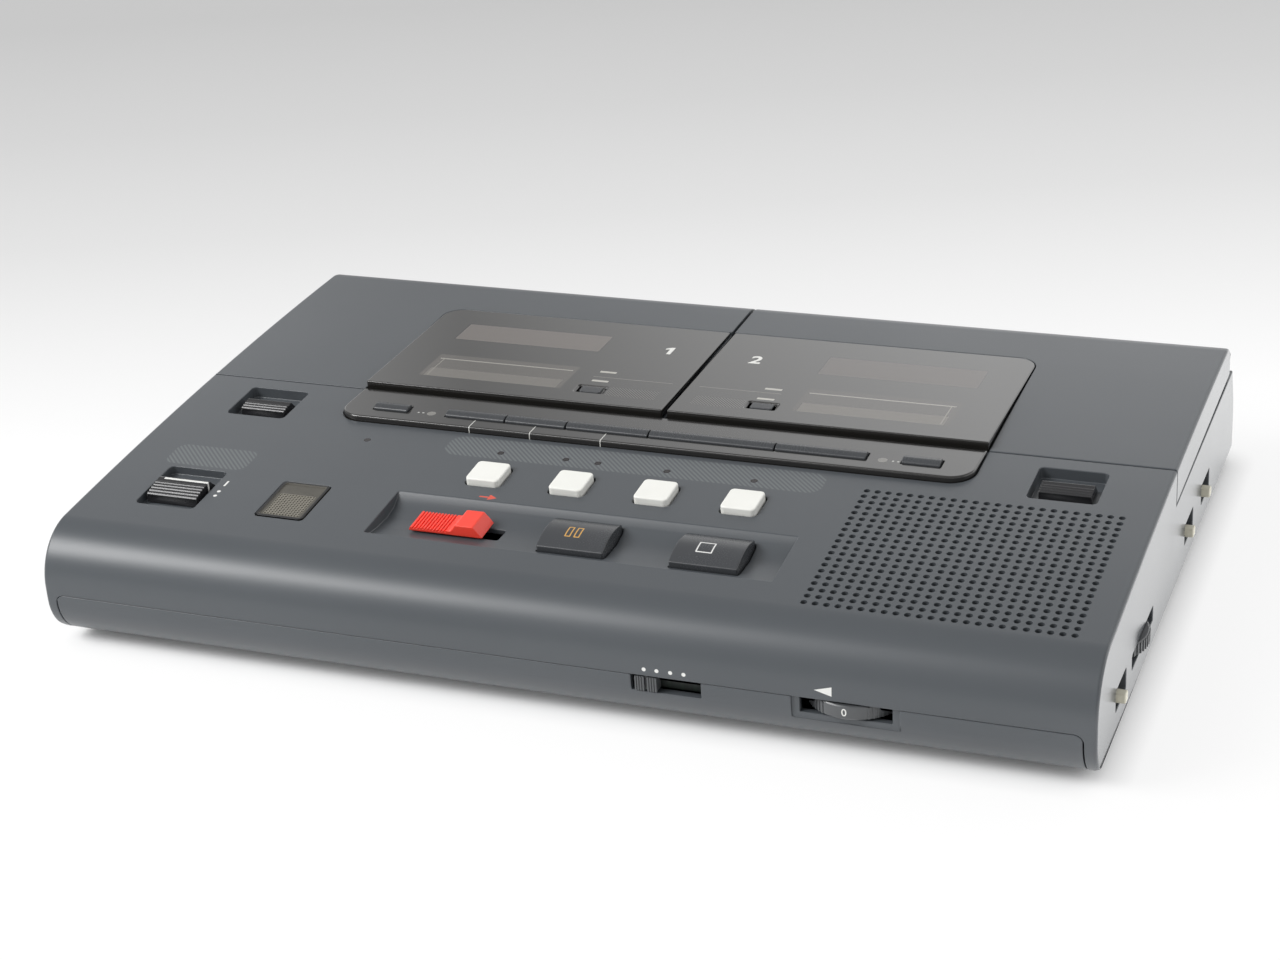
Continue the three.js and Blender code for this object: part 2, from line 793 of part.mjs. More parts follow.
function lowerCabinet() {
  const tray = cut(
    overlap(prismX(caseOutline(0), -lowerHalf, lowerHalf), caseEnvelope(), lowerSpace(partGap)),
    prismX(caseOutline(wall), -half, half),
  );
  const added = [];
  const removed = [];
  for (const [x, y] of screwPlaces()) {
    const boss = circle(screwWellRadius + screwBossWall, 6, x, y);
    added.push(prismZ(boss, floorTop - wall / 2, footHeight + screwWellDepth + screwBossWall));
    removed.push(prismZ(circle(screwWellRadius, 6, x, y), -overrun, footHeight + screwWellDepth));
  }
  for (const [x, y] of postPlaces()) {
    const top = boardBottom - partGap;
    added.push(prismZ(circle(postRadius, 5, x, y), floorTop - wall / 2, top));
  }
  for (const [x, y] of padPlaces()) {
    added.push(prismZ(circle(padRadius + wall, 8, x, y), floorTop - wall / 2, floorTop + padInset));
    removed.push(prismZ(circle(padRadius + partGap, 12, x, y), -overrun, footHeight + padInset + partGap));
  }
  const front = noseTipY - overrun;
  const back = noseY;
  const volumeLow = volumeMiddle - volumeThickness / 2 - wheelSlack;
  removed.push(box(
    volumeX - volumeSlotWidth / 2,
    volumeX + volumeSlotWidth / 2,
    front,
    back,
    volumeLow,
    partingHeight + overrun,
  ));
  removed.push(box(
    volumeX - volumeRecessWidth / 2,
    volumeX + volumeRecessWidth / 2,
    front,
    noseTipY + volumeRecessDepth,
    volumeLow - volumeRecessDrop,
    partingHeight + overrun,
  ));
  removed.push(box(
    monitorX - monitorSlotWidth / 2,
    monitorX + monitorSlotWidth / 2,
    front,
    back,
    partingHeight - monitorSlotHeight,
    partingHeight + overrun,
  ));
  return cut(join(tray, added), removed);
}

function pad() {
  const profile = [
    new THREE.Vector2(0, 0),
    new THREE.Vector2(padRadius - padTaper, 0),
    new THREE.Vector2(padRadius, footHeight),
    new THREE.Vector2(padRadius, footHeight + padInset),
    new THREE.Vector2(0, footHeight + padInset),
  ];
  return new THREE.LatheGeometry(profile, 12).rotateX(90 * turn);
}

// Speaker grille

function speakerGrille() {
  const plate = roundedRectangle(grilleWidth, grilleLength, partGap);
  for (let column = 0; column < holeColumns; column += 1) {
    for (let row = 0; row < holeRows; row += 1) {
      const x = (column - (holeColumns - 1) / 2) * holePitch;
      const y = (row - (holeRows - 1) / 2) * holePitch;
      plate.holes.push(new THREE.Path(circle(holeRadius, 3, x, y).getPoints().reverse()));
    }
  }
  return prismZ(plate, -grilleThickness, 0);
}

function speaker() {
  const rim = -grilleThickness - 2 * partGap - grilleLedgeThickness;
  const back = rim - speakerDepth;
  const profile = [
    [0, back],
    [magnetRadius, back],
    [magnetRadius, back + magnetHeight],
    [coneNeck, back + magnetHeight],
    [speakerRadius - speakerRimThickness * 2, rim - speakerRimThickness],
    [speakerRadius, rim - speakerRimThickness],
    [speakerRadius, rim],
    [speakerRadius - speakerRimThickness * 2, rim],
    [coneNeck, back + magnetHeight + speakerRimThickness],
    [0, back + magnetHeight + speakerRimThickness * 2],
  ];
  const points = profile.map(([r, z]) => new THREE.Vector2(r, z));
  return new THREE.LatheGeometry(points, 12).rotateX(90 * turn);
}

// Lids

function lidOutline() {
  const top = [];
  for (let i = 0; i <= 5; i += 1) {
    const y = lidFrontY + caseEdge + (lidRoundY - lidFrontY - caseEdge) * i / 5;
    top.unshift([y, topAt(y)]);
  }
  const skirtBend = -Math.asin((hingeZ - skirtAt(hingeY)) / hingeInset);
  return outline([
    [lidFrontY, skirtAt(lidFrontY)],
    ...arc(hingeY, hingeZ, hingeInset, skirtBend, hingeBend, 4),
    ...arc(lidRoundY, lidRoundZ, lidRearRound, hingeBend, 90 * turn, 4).slice(1, -1),
    ...top,
    [lidFrontY, topAt(lidFrontY) - caseEdge],
  ]);
}

function lidHollow() {
  const low = rimFront - overrun;
  const front = lidFrontY + lidWall;
  const top = [];
  for (let i = 0; i <= 3; i += 1) {
    const y = front + (lidRoundY - front) * i / 3;
    top.unshift([y, topAt(y) - lidSkin]);
  }
  return outline([
    [front, low],
    [hingeY + hingeInset - lidWall, low],
    ...arc(lidRoundY, lidRoundZ, lidRearRound - lidWall, hingeBend, 80 * turn, 3),
    ...top,
  ]);
}

// Rib that carries a hinge pin, and the room that the hinge ear needs while the lid swings
function hingeRib() {
  const reach = lidRearRound - lidWall / 2;
  const ribBend = Math.acos((hingeY - ribDepth - lidRoundY) / reach);
  return outline([
    ...arc(hingeY, hingeZ, earRadius, -180 * turn, -20 * turn, 4),
    ...arc(lidRoundY, lidRoundZ, reach, hingeBend, ribBend, 4),
  ]);
}

function earRoom() {
  const reach = earRadius + partGap;
  const far = 3 * hingeInset;
  const swing = lidSwing * turn;
  const tip = [hingeY + reach * Math.cos(swing), hingeZ + reach * Math.sin(swing)];
  return outline([
    [hingeY - reach, hingeZ],
    [hingeY - reach, hingeZ - far],
    [tip[0] + far * Math.sin(swing), hingeZ - far],
    [tip[0] + far * Math.sin(swing), tip[1] - far * Math.cos(swing)],
    ...arc(hingeY, hingeZ, reach, swing, 180 * turn, 6).slice(0, -1),
  ]);
}

function panelPlan(side, grow, frontReach) {
  const inner = side * (panelInnerEdge - grow);
  const outer = side * (panelOuterEdge + grow);
  const corner = panelCorner + grow;
  const rear = panelRearY + grow;
  const front = panelFrontY - frontReach;
  const bend = arc(outer - side * corner, rear - corner, corner, side > 0 ? 0 : 180 * turn, 90 * turn, 4);
  const points = [[inner, front], [outer, front], ...bend, [inner, rear]];
  return outline(side > 0 ? points : points.reverse());
}

function windowOpening(side, width, depth, y) {
  const shape = roundedRectangle(width + 2 * partGap, depth + 2 * partGap, partGap);
  return onSurface(prismZ(shape, -2 * lidSkin, overrun), side * windowCentreX, y);
}

function counterOpening(side, grow) {
  const shape = roundedRectangle(
    counterButtonWidth + 2 * grow,
    counterButtonDepth + 2 * grow,
    partGap,
  );
  return onSurface(prismZ(shape, -2 * lidSkin, 2 * overrun), side * counterButtonX, counterButtonY);
}

function lidShell(side) {
  const inner = lidMidGap / 2;
  const span = side > 0 ? [inner, half] : [-half, -inner];
  const hollowSpan = side > 0
    ? [inner + lidWall, half - lidWall]
    : [lidWall - half, -inner - lidWall];
  const shell = cut(
    overlap(prismX(lidOutline(), span[0], span[1], caseEdge), planEnvelope(lidRearY)),
    prismX(lidHollow(), hollowSpan[0], hollowSpan[1]),
  );
  const ribs = [];
  const notches = [];
  for (const x of earPlaces().filter((place) => place * side > 0)) {
    const away = Math.abs(x) > windowCentreX ? -side : side;
    const face = x + away * (earThickness / 2 + partGap);
    const ribSpan = [face, face + away * ribThickness].sort((a, b) => a - b);
    const pinSpan = [face + away * ribThickness / 2, x - away * earThickness / 2].sort((a, b) => a - b);
    ribs.push(prismX(hingeRib(), ribSpan[0], ribSpan[1]));
    ribs.push(prismX(circle(hingePinRadius, 12, hingeY, hingeZ), pinSpan[0], pinSpan[1]));
    const notchHalf = earThickness / 2 + partGap;
    notches.push(prismX(earRoom(), x - notchHalf, x + notchHalf));
  }
  const seatProfile = [];
  const front = lidFrontY - overrun;
  const rear = panelRearY + 2 * partGap;
  for (let i = 0; i <= 4; i += 1) {
    const y = front + (rear - front) * i / 4;
    seatProfile.push([y, topAt(y) - panelSeat]);
  }
  const high = caseHeight + overrun;
  const seatBlock = prismX(outline([...seatProfile, [rear, high], [front, high]]), -half, half);
  const plan = prismZ(panelPlan(side, partGap, overrun), rimFront, high);
  const middle = boxAcross(side, 0, panelInnerEdge + partGap, front, rear, rimFront, high);
  const seat = join(overlap(seatBlock, plan), overlap(seatBlock, middle));
  return cut(
    join(cut(shell, notches), ribs),
    seat,
    windowOpening(side, tapeWindowWidth, tapeWindowDepth, tapeWindowY),
    windowOpening(side, counterWindowWidth, counterWindowDepth, counterWindowY),
    counterOpening(side, partGap),
  );
}

function windowPanel(side) {
  const lower = [];
  for (let i = 0; i <= 4; i += 1) {
    const y = panelFrontY + panelDepth * i / 4;
    lower.push([y, topAt(y) - panelSeat + partGap]);
  }
  const profile = outline([
    ...lower,
    [panelRearY, topAt(panelRearY) + caseEdge / 10],
    [panelFrontY + caseEdge / 2, topAt(panelFrontY) + panelProud],
    [panelFrontY, topAt(panelFrontY) + panelProud - caseEdge / 2],
  ]);
  const slab = prismX(profile, -half, half);
  const plan = prismZ(panelPlan(side, 0, 0), rimFront, caseHeight + 2 * overrun);
  const recessShape = roundedRectangle(counterRecessWidth, counterRecessDepth, partGap);
  const button = onSurface(
    prismZ(recessShape, panelProud / 2, 2 * overrun),
    side * counterButtonX,
    counterButtonY,
  );
  return cut(overlap(slab, plan), button, counterOpening(side, partGap));
}

function counterDisplay() {
  const glass = prismZ(
    roundedRectangle(counterWindowWidth - 2 * partGap, counterWindowDepth - 2 * partGap, partGap),
    -lidSkin - partGap - displayFlangeThickness / 2,
    -panelSeat - partGap / 2,
  );
  const flange = prismZ(
    roundedRectangle(
      counterWindowWidth + 2 * displayFlange,
      counterWindowDepth + 2 * displayFlange,
      partGap,
    ),
    -lidSkin - partGap - displayFlangeThickness,
    -lidSkin - partGap,
  );
  return join(glass, flange);
}

function counterButton() {
  const cap = roundedRectangle(counterButtonWidth, counterButtonDepth, partGap);
  const foot = roundedRectangle(
    counterButtonWidth + 4 * partGap,
    counterButtonDepth + 4 * partGap,
    partGap,
  );
  const top = panelProud - counterButtonSunk;
  return join(
    prismZ(cap, -lidSkin - partGap - counterButtonFoot / 2, top, partGap / 2),
    prismZ(foot, -lidSkin - partGap - counterButtonFoot, -lidSkin - partGap),
  );
}

function cassetteHolder() {
  const front = tapeEdgeY + cassetteEndClear;
  const rear = tapeEdgeY + cassetteDepth + cassetteEndClear;
  const back = rear + holderWall;
  const top = [];
  for (let i = 0; i <= 3; i += 1) {
    const y = front + (back - front) * i / 3;
    top.unshift([y, topAt(y) - lidSkin - partGap]);
  }
  const block = prismX(
    outline([[front, holderBottom], [back, holderBottom], ...top]),
    -holderHalf,
    holderHalf,
  );
  const slotHalf = holderHalf - holderWall;
  const open = slotHalf - holderLip;
  const ahead = front - overrun;
  const high = caseHeight;
  return cut(
    block,
    box(-slotHalf, slotHalf, ahead, rear, cassetteBottom, cassetteTop),
    box(-open, open, ahead, rear - holderLip, holderBottom - overrun, cassetteBottom + overrun),
    box(-open, open, ahead, rear - holderLip / 2, cassetteTop - overrun, high),
  );
}

// Tape mechanisms, drawn about the middle of the line between the two hubs

function deckPlate() {
  const halfWidth = holderHalf - deckPlateMargin;
  const front = stepY + wellLedge + deckPlateMargin - hubY;
  const rear = hingeY - ribDepth - wellLedge - deckPlateMargin - hubY;
  const low = deckPlateTop - deckPlateThickness;
  const plate = box(-halfWidth, halfWidth, front, rear, low, deckPlateTop);
  const tabs = [];
  for (const side of [-1, 1]) {
    for (const y of [front + deckTabWidth, rear - deckTabWidth]) {
      const reach = wellGap + deckPlateMargin + 2 * wellLedge;
      const rimUnder = rimAt(y + hubY - deckTabWidth / 2) - wall - partGap;
      const wing = [side * halfWidth - side * wall, side * (halfWidth + reach)].sort((a, b) => a - b);
      tabs.push(box(wing[0], wing[1], y - deckTabWidth / 2, y + deckTabWidth / 2, low, deckPlateTop));
      const post = [side * (halfWidth + reach - deckPlateThickness), side * (halfWidth + reach)];
      post.sort((a, b) => a - b);
      tabs.push(box(post[0], post[1], y - deckTabWidth / 2, y + deckTabWidth / 2, low, rimUnder));
    }
  }
  const sides = 8;
  const holes = [-hubSpacing / 2, hubSpacing / 2].map((x) => prismZ(
    circle(boreRadius(spindleShaftRadius, sides), sides, x, 0),
    low - overrun,
    deckPlateTop + overrun,
  ));
  holes.push(prismZ(
    circle(boreRadius(capstanRadius, sides), sides, capstanX, capstanY - hubY),
    low - overrun,
    deckPlateTop + overrun,
  ));
  return cut(join(plate, tabs), holes);
}

function spindle() {
  const low = -deckPlateThickness - 2 * partGap;
  const profile = [
    [0, low],
    [spindleShaftRadius, low],
    [spindleShaftRadius, partGap],
    [spindleFlangeRadius, partGap],
    [spindleFlangeRadius, partGap + spindleFlange],
    [spindleHubRadius, partGap + spindleFlange],
    [spindleHubRadius, spindleHeight],
    [0, spindleHeight + spindleTip],
  ];
  const core = new THREE.LatheGeometry(profile.map(([r, z]) => new THREE.Vector2(r, z)), 8);
  const fins = [];
  for (let i = 0; i < 3; i += 1) {
    const fin = box(
      0,
      spindleFinReach,
      -spindleFinThickness / 2,
      spindleFinThickness / 2,
      partGap + spindleFlange / 2,
      spindleHeight - spindleTip,
    );
    fins.push(fin.rotateZ(i * 120 * turn));
  }
  return join(core.rotateX(90 * turn), fins);
}

function capstan() {
  const low = -deckPlateThickness - partGap;
  const profile = [
    [0, low - flywheelThickness],
    [flywheelRadius, low - flywheelThickness],
    [flywheelRadius, low],
    [capstanRadius, low],
    [capstanRadius, capstanHeight],
    [0, capstanHeight],
  ];
  const points = profile.map(([r, z]) => new THREE.Vector2(r, z));
  return new THREE.LatheGeometry(points, 12).rotateX(90 * turn);
}

function headCarriage() {
  const low = partGap;
  const plateTop = low + carriageThickness;
  const plate = box(-carriageWidth / 2, carriageWidth / 2, 0, carriageDepth, low, plateTop);
  const headFront = carriageDepth - headDepth;
  const head = cut(
    box(-headWidth / 2, headWidth / 2, headFront, carriageDepth, plateTop - low, plateTop + headHeight),
    box(
      -headSlot / 2,
      headSlot / 2,
      carriageDepth - carriageThickness,
      carriageDepth + overrun,
      plateTop + headHeight / 3,
      plateTop + headHeight - headHeight / 3,
    ),
  );
  const sides = 10;
  const pinY = rollerY - carriageY();
  const pin = prismZ(
    circle(rollerPinRadius, sides, capstanX, pinY),
    low,
    plateTop + partGap + rollerHeight + carriageThickness,
  );
  return join(plate, head, pin);
}

function carriageY() {
  return rollerY - carriageDepth / 2;
}

function pinchRoller() {
  const sides = 10;
  const ring = circle(rollerRadius, sides);
  ring.holes.push(new THREE.Path(circle(boreRadius(rollerPinRadius, sides), sides).getPoints().reverse()));
  return prismZ(ring, 0, rollerHeight);
}

// Key strip in front of the lids

function barPlan(grow) {
  const x = barWidth / 2 + grow;
  const rear = stepY + overrun;
  const front = barFrontY() - grow;
  const corner = barCorner + grow;
  return outline([
    [x, rear],
    [-x, rear],
    ...arc(corner - x, front + corner, corner, 180 * turn, 270 * turn, 4),
    ...arc(x - corner, front + corner, corner, 270 * turn, 360 * turn, 4),
  ]);
}

function barFrontY() {
  return barRearY() - barDepth;
}

function barRearY() {
  return stepY - partGap;
}

function barPrism(sink, grow, rise) {
  const front = barFrontY() - overrun;
  const rear = rise > 0 ? stepY + overrun : barRearY();
  const topFront = topAt(barFrontY()) + barProudFront;
  const topRear = topAt(barRearY()) + barProudRear;
  const profile = [
    [front, topAt(front) - sink],
    [rear, topAt(rear) - sink],
    [rear, topRear + rise],
  ];
  if (rise > 0) {
    profile.push([front, topFront + rise]);
  } else {
    profile.push([barFrontY() + caseEdge / 2, topFront]);
    profile.push([barFrontY(), topFront - caseEdge / 2]);
    profile.push([front, topFront - caseEdge]);
  }
  return overlap(
    prismX(outline(profile), -half, half),
    prismZ(barPlan(grow), rimFront, caseHeight + 2 * overrun),
  );
}

function keyRowY() {
  return barFrontY() + keyRowFromFront;
}

function barTopAt(y) {
  const share = (y - barFrontY()) / (barRearY() - barFrontY());
  const front = topAt(barFrontY()) + barProudFront;
  return front + (topAt(barRearY()) + barProudRear - front) * share;
}

function transportKeys() {
  let x = keyRowStart;
  return keyWidths.map((width) => {
    const middle = x + width / 2;
    x += width + keyGap;
    return { x: middle, width };
  });
}

function keyOpening(from, to) {
  const y = keyRowY();
  return box(
    from - partGap,
    to + partGap,
    y - keyDepth / 2 - partGap,
    y + keyDepth / 2 + partGap,
    rimFront,
    caseHeight + overrun,
  );
}

function keyStemSlot(from, to) {
  const y = keyRowY();
  const reach = keyStem / 2 + partGap;
  return box(from, to, y - reach, y + reach, topAt(y) - 2 * wall, caseHeight);
}

function keyBar() {
  const openings = [keyOpening(keyRowStart, keyRowStart + keyRowWidth)];
  for (const side of [-1, 1]) {
    openings.push(keyOpening(side * deckKeyX - deckKeyWidth / 2, side * deckKeyX + deckKeyWidth / 2));
  }
  return cut(barPrism(barSeat - partGap, 0, 0), openings);
}

function stripKey(width) {
  const crown = outline([
    [-keyDepth / 2, -keySunk],
    [keyDepth / 2, -keySunk],
    ...arc(0, -keyDepth / 2 + keyProud, keyDepth / 2 * Math.SQRT2, 45 * turn, 135 * turn, 4)
      .map(([y, z]) => [y, z - keyDepth / 2 * (Math.SQRT2 - 1)]),
  ]);
  const stem = box(
    -width * keyStemShare / 2,
    width * keyStemShare / 2,
    -keyStem / 2,
    keyStem / 2,
    -keySunk - keyStemLength,
    -keySunk + partGap,
  );
  return join(prismX(crown, -width / 2, width / 2), stem);
}

// Buttons and sliders of the sloping top

function buttonPlaces() {
  return [-1.5, -0.5, 0.5, 1.5].map((share) => buttonRowX + share * buttonPitch);
}

function modeButton() {
  const cap = prismZ(
    roundedRectangle(buttonWidth, buttonDepth, buttonCorner),
    -wall - partGap - buttonFlangeThickness / 2,
    buttonProud,
    partGap,
  );
  const grow = 2 * (buttonClear + buttonFlange);
  const flange = prismZ(
    roundedRectangle(buttonWidth + grow, buttonDepth + grow, partGap),
    -wall - partGap - buttonFlangeThickness,
    -wall - partGap,
  );
  return join(cap, flange);
}

function bigKeyHole(x) {
  const shape = roundedRectangle(bigKeyWidth + 2 * partGap, bigKeyDepth + 2 * partGap, partGap);
  return onSurface(prismZ(shape, -traySink - 2 * trayFloor, overrun), x, bigKeyY);
}

function bigKey() {
  const halfDepth = bigKeyDepth / 2;
  const rise = bigKeyCrown;
  const radius = (halfDepth ** 2 + rise ** 2) / (2 * rise);
  const spread = Math.asin(halfDepth / radius);
  const crownTop = rise - bigKeyFrontSunk;
  const skirt = -traySink - trayFloor - partGap - buttonFlangeThickness / 2;
  const cap = prismX(outline([
    [-halfDepth, skirt],
    [halfDepth, skirt],
    ...arc(0, crownTop - radius, radius, 90 * turn - spread, 90 * turn + spread, 6),
  ]), -bigKeyWidth / 2, bigKeyWidth / 2, partGap);
  const lip = prismZ(
    roundedRectangle(bigKeyWidth + 2 * buttonFlange, bigKeyDepth + 2 * buttonFlange, partGap),
    -traySink - trayFloor - partGap - buttonFlangeThickness,
    -traySink - trayFloor - partGap,
  );
  return join(cap, lip);
}

function recordFloor() {
  return -(trayFrontSink + 2 * traySink) / 3;
}

function recordSlot() {
  const floor = recordFloor();
  const from = -recordLength / 2;
  const to = recordLength / 2 + recordTravel + partGap;
  const shape = roundedRectangle(to - from, recordSlotWidth, partGap, (from + to) / 2);
  return onSurface(prismZ(shape, floor - 3 * trayFloor, overrun), recordX, recordY);
}

function recordSlider() {
  const floor = recordFloor();
  const base = floor + 2 * partGap;
  const low = -recordLow;
  const high = recordHigh;
  const from = -recordLength / 2;
  const to = recordLength / 2;
  const blockFrom = to - recordBlockLength - 2 * recordLow;
  const body = prismY(outline([
    [from, base],
    [to, base],
    [to - recordLow, low],
    [to - 2 * recordLow, high],
    [blockFrom + recordLow, high],
    [blockFrom, low + recordRibDepth],
    [blockFrom - recordLow, low],
    [from + recordLow / 2, low],
  ]), -recordDepth / 2, recordDepth / 2, partGap);
  const grooves = [];
  for (let i = 0; i < recordRibs; i += 1) {
    const x = from + 2 * recordRibPitch + i * recordRibPitch;
    grooves.push(box(
      x,
      x + recordRibPitch / 2,
      -recordDepth,
      recordDepth,
      low - recordRibDepth,
      low + overrun,
    ));
  }
  const stemTop = base + partGap;
  const footTop = floor - 2 * trayFloor;
  const stem = box(-recordStem, recordStem, -recordStem / 2, recordStem / 2, footTop - partGap, stemTop);
  const foot = box(
    -2 * recordStem,
    2 * recordStem,
    -recordDepth / 2,
    recordDepth / 2,
    footTop - sliderFootThickness,
    footTop,
  );
  return join(cut(body, grooves), stem, foot);
}

function sliderSlot(length, back, forth, x, y) {
  const from = -length / 2 - back - partGap;
  const to = length / 2 + forth + partGap;
  const shape = roundedRectangle(
    sliderStemWidth + 2 * partGap,
    to - from,
    partGap,
    0,
    (from + to) / 2,
  );
  return onSurface(prismZ(shape, -2 * ejectSink - trayFloor, overrun), x, y);
}

function powerKnobStemLength() {
  return sliderStemDepth;
}

function sliderKnob(width, length, topLength, sink, proud, ribs, pitch, ribDepth) {
  const base = -sink + partGap;
  const front = -length / 2;
  const body = prismX(outline([
    [front, base],
    [length / 2, base],
    [front + topLength, proud],
    [front, proud - ribDepth],
  ]), -width / 2, width / 2, partGap);
  const grooves = [];
  for (let i = 0; i < ribs; i += 1) {
    const y = front + pitch / 2 + i * pitch;
    grooves.push(box(-width, width, y, y + pitch / 2, proud - 2 * ribDepth, proud + overrun));
  }
  const under = -sink - trayFloor - partGap;
  const stem = box(
    -sliderStemWidth / 2,
    sliderStemWidth / 2,
    -sliderStemDepth / 2,
    sliderStemDepth / 2,
    under - sliderFootThickness / 2,
    base + partGap,
  );
  const foot = box(
    -sliderStemWidth / 2 - sliderFoot,
    sliderStemWidth / 2 + sliderFoot,
    -sliderStemDepth / 2 - sliderFoot,
    sliderStemDepth / 2 + sliderFoot,
    under - sliderFootThickness,
    under,
  );
  return join(cut(body, grooves), stem, foot);
}

function micPlate() {
  const plate = prismZ(roundedRectangle(micWidth, micDepth, micCorner), partGap - micSink, micStep);
  const inner = roundedRectangle(micWidth - 2 * micFrame, micDepth - 2 * micFrame, partGap);
  return cut(plate, prismZ(inner, 0, overrun));
}

// Front switch and wheels

function knurledWheel(radius, thickness, teeth, toothDepth) {
  const points = [];
  for (let i = 0; i < teeth; i += 1) {
    const step = 360 * turn / teeth;
    points.push(...arc(0, 0, radius, i * step, (i + 0.45) * step, 1));
    points.push(...arc(0, 0, radius - toothDepth, (i + 0.6) * step, (i + 0.85) * step, 1));
  }
  const shape = outline(points);
  const sides = 10;
  shape.holes.push(new THREE.Path(circle(boreRadius(potShaftRadius, sides), sides).getPoints().reverse()));
  return prismZ(shape, -thickness / 2, thickness / 2);
}

function monitorKnob() {
  const back = wall + 2 * partGap;
  const body = box(
    -monitorKnobWidth / 2,
    monitorKnobWidth / 2,
    -monitorKnobProud,
    back,
    -monitorKnobHeight / 2,
    monitorKnobHeight / 2,
  );
  const notch = box(
    -monitorNotch / 2,
    monitorNotch / 2,
    -monitorKnobProud - overrun,
    monitorNotch,
    -monitorKnobHeight,
    monitorKnobHeight,
  );
  return cut(body, notch);
}

function sideKnob() {
  const depth = cheek + partGap;
  const tip = prismX(
    roundedRectangle(sideKnobLength, sideKnobHeight, partGap),
    -depth,
    sideKnobProud,
    partGap,
  );
  const plate = box(
    -depth - sliderFootThickness,
    -depth + partGap,
    -sideKnobLength,
    sideKnobLength,
    -sideKnobHeight / 2,
    sideKnobHeight / 2,
  );
  return join(tip, plate);
}

// Sockets

function jackPlaces() {
  return Array.from({ length: jackCount }, (_, i) => jackFirstY + i * jackPitch);
}

function jackBlock() {
  const length = (jackCount - 1) * jackPitch;
  const low = -jackHeight / 2 + partGap;
  const block = box(0, jackDepth, -jackPitch / 2, length + jackPitch / 2, low, jackHeight / 2);
  const sleeves = [];
  const bores = [];
  for (let i = 0; i < jackCount; i += 1) {
    sleeves.push(prismX(circle(jackSleeveRadius, 10, i * jackPitch, 0), -cheek - partGap, overrun));
    bores.push(prismX(circle(jackBoreRadius, 8, i * jackPitch, 0), -cheek - overrun, jackDepth - overrun));
  }
  return cut(join(block, sleeves), bores);
}

function powerInlet() {
  const cavity = prismX(
    roundedRectangle(inletCavityWidth, inletCavityHeight, inletCavityHeight / 2 - partGap, 0, 0, 3),
    -overrun,
    inletCavityDepth,
  );
  const body = cut(
    prismX(
      roundedRectangle(inletWidth, inletHeight, sideSlotCorner),
      0,
      inletDepth,
    ),
    cavity,
  );
  const pins = [-1, 1].map((side) => prismX(
    circle(inletPinRadius, 6, side * inletPinSpacing / 2, 0),
    overrun,
    inletCavityDepth + overrun / 2,
  ));
  return join(body, pins);
}

// Circuit board with the bodies of the switches and the shafts of the wheels

function circuitBoard() {
  const front = boardFrontY;
  const x = innerHalf - boardSideClear;
  const low = boardBottom;
  const sheet = box(-x, x, front, boardRearY, low, boardTop);
  const parts = [];
  const switchBack = innerHalf - partGap - sliderFootThickness - partGap;
  for (const y of sideSwitchPlaces) {
    parts.push(box(
      switchBack - 2 * boardSideClear,
      switchBack,
      y - sideSlotLength / 2,
      y + sideSlotLength / 2,
      boardTop - boardThickness / 2,
      sideSlotMiddle + sideSlotHeight / 2,
    ));
  }
  const knobBack = noseTipY + wall + 2 * partGap;
  const monitorBody = box(
    monitorX - monitorSlotWidth / 2,
    monitorX + monitorSlotWidth / 2,
    knobBack + partGap,
    front + boardSideClear,
    partingHeight - monitorSlotHeight,
    partingHeight,
  );
  const monitorLeg = box(
    monitorX - monitorSlotWidth / 2,
    monitorX + monitorSlotWidth / 2,
    front + boardThickness,
    front + boardSideClear,
    low,
    partingHeight,
  );
  parts.push(monitorBody, monitorLeg);
  const sides = 10;
  parts.push(prismZ(
    circle(potShaftRadius, sides, volumeX, volumeY),
    low,
    volumeMiddle + volumeThickness / 2,
  ));
  parts.push(prismZ(
    circle(2 * potShaftRadius, sides, volumeX, volumeY),
    low,
    volumeMiddle - volumeThickness / 2 - partGap,
  ));
  parts.push(prismZ(
    circle(potShaftRadius, sides, sideWheelX, sideWheelY),
    low,
    sideSlotMiddle + sideWheelThickness / 2,
  ));
  return join(sheet, parts);
}

// Materials
function finish(colour, roughness, metalness = 0) {
  return new THREE.MeshStandardMaterial({ color: colour, roughness, metalness });
}

function transparentFinish(colour, roughness, opacity) {
  return new THREE.MeshStandardMaterial({ color: colour, roughness, opacity, transparent: true });
}

const charcoal = () => finish(0x4a5155, 0.5);
const gloss = () => finish(0x1b1b1d, 0.12);
const smoked = () => transparentFinish(0x3a3a36, 0.08, 0.85);
const knobBlack = () => finish(0x2a2b2f, 0.4);
const keyGrey = () => finish(0x3e4043, 0.3);
const white = () => finish(0xf1f1ec, 0.45);
const red = () => finish(0xe8392e, 0.4);
const cream = () => finish(0xe8e4d0, 0.5);
const darkPlastic = () => finish(0x232426, 0.6);
const steel = () => finish(0xa9abad, 0.35, 0.9);
const brass = () => finish(0xb09a5a, 0.35, 0.9);
const rubber = () => finish(0x151515, 0.9);
const boardGreen = () => finish(0x7a5a2a, 0.6);
const bronze = () => finish(0x77746a, 0.6, 0.3);

// Assembly
const deck = new THREE.Group();

function place(parent, name, geometry, material, x = 0, y = 0, z = 0, tilt = 0) {
  const piece = new THREE.Mesh(geometry, material);
  piece.name = name;
  piece.position.set(x, y, z);
  piece.rotation.x = tilt;
  parent.add(piece);
  return piece;
}

function placeOnTop(name, geometry, material, x, y) {
  return place(deck, name, geometry, material, x, y, topAt(y), slopeAt(y));
}

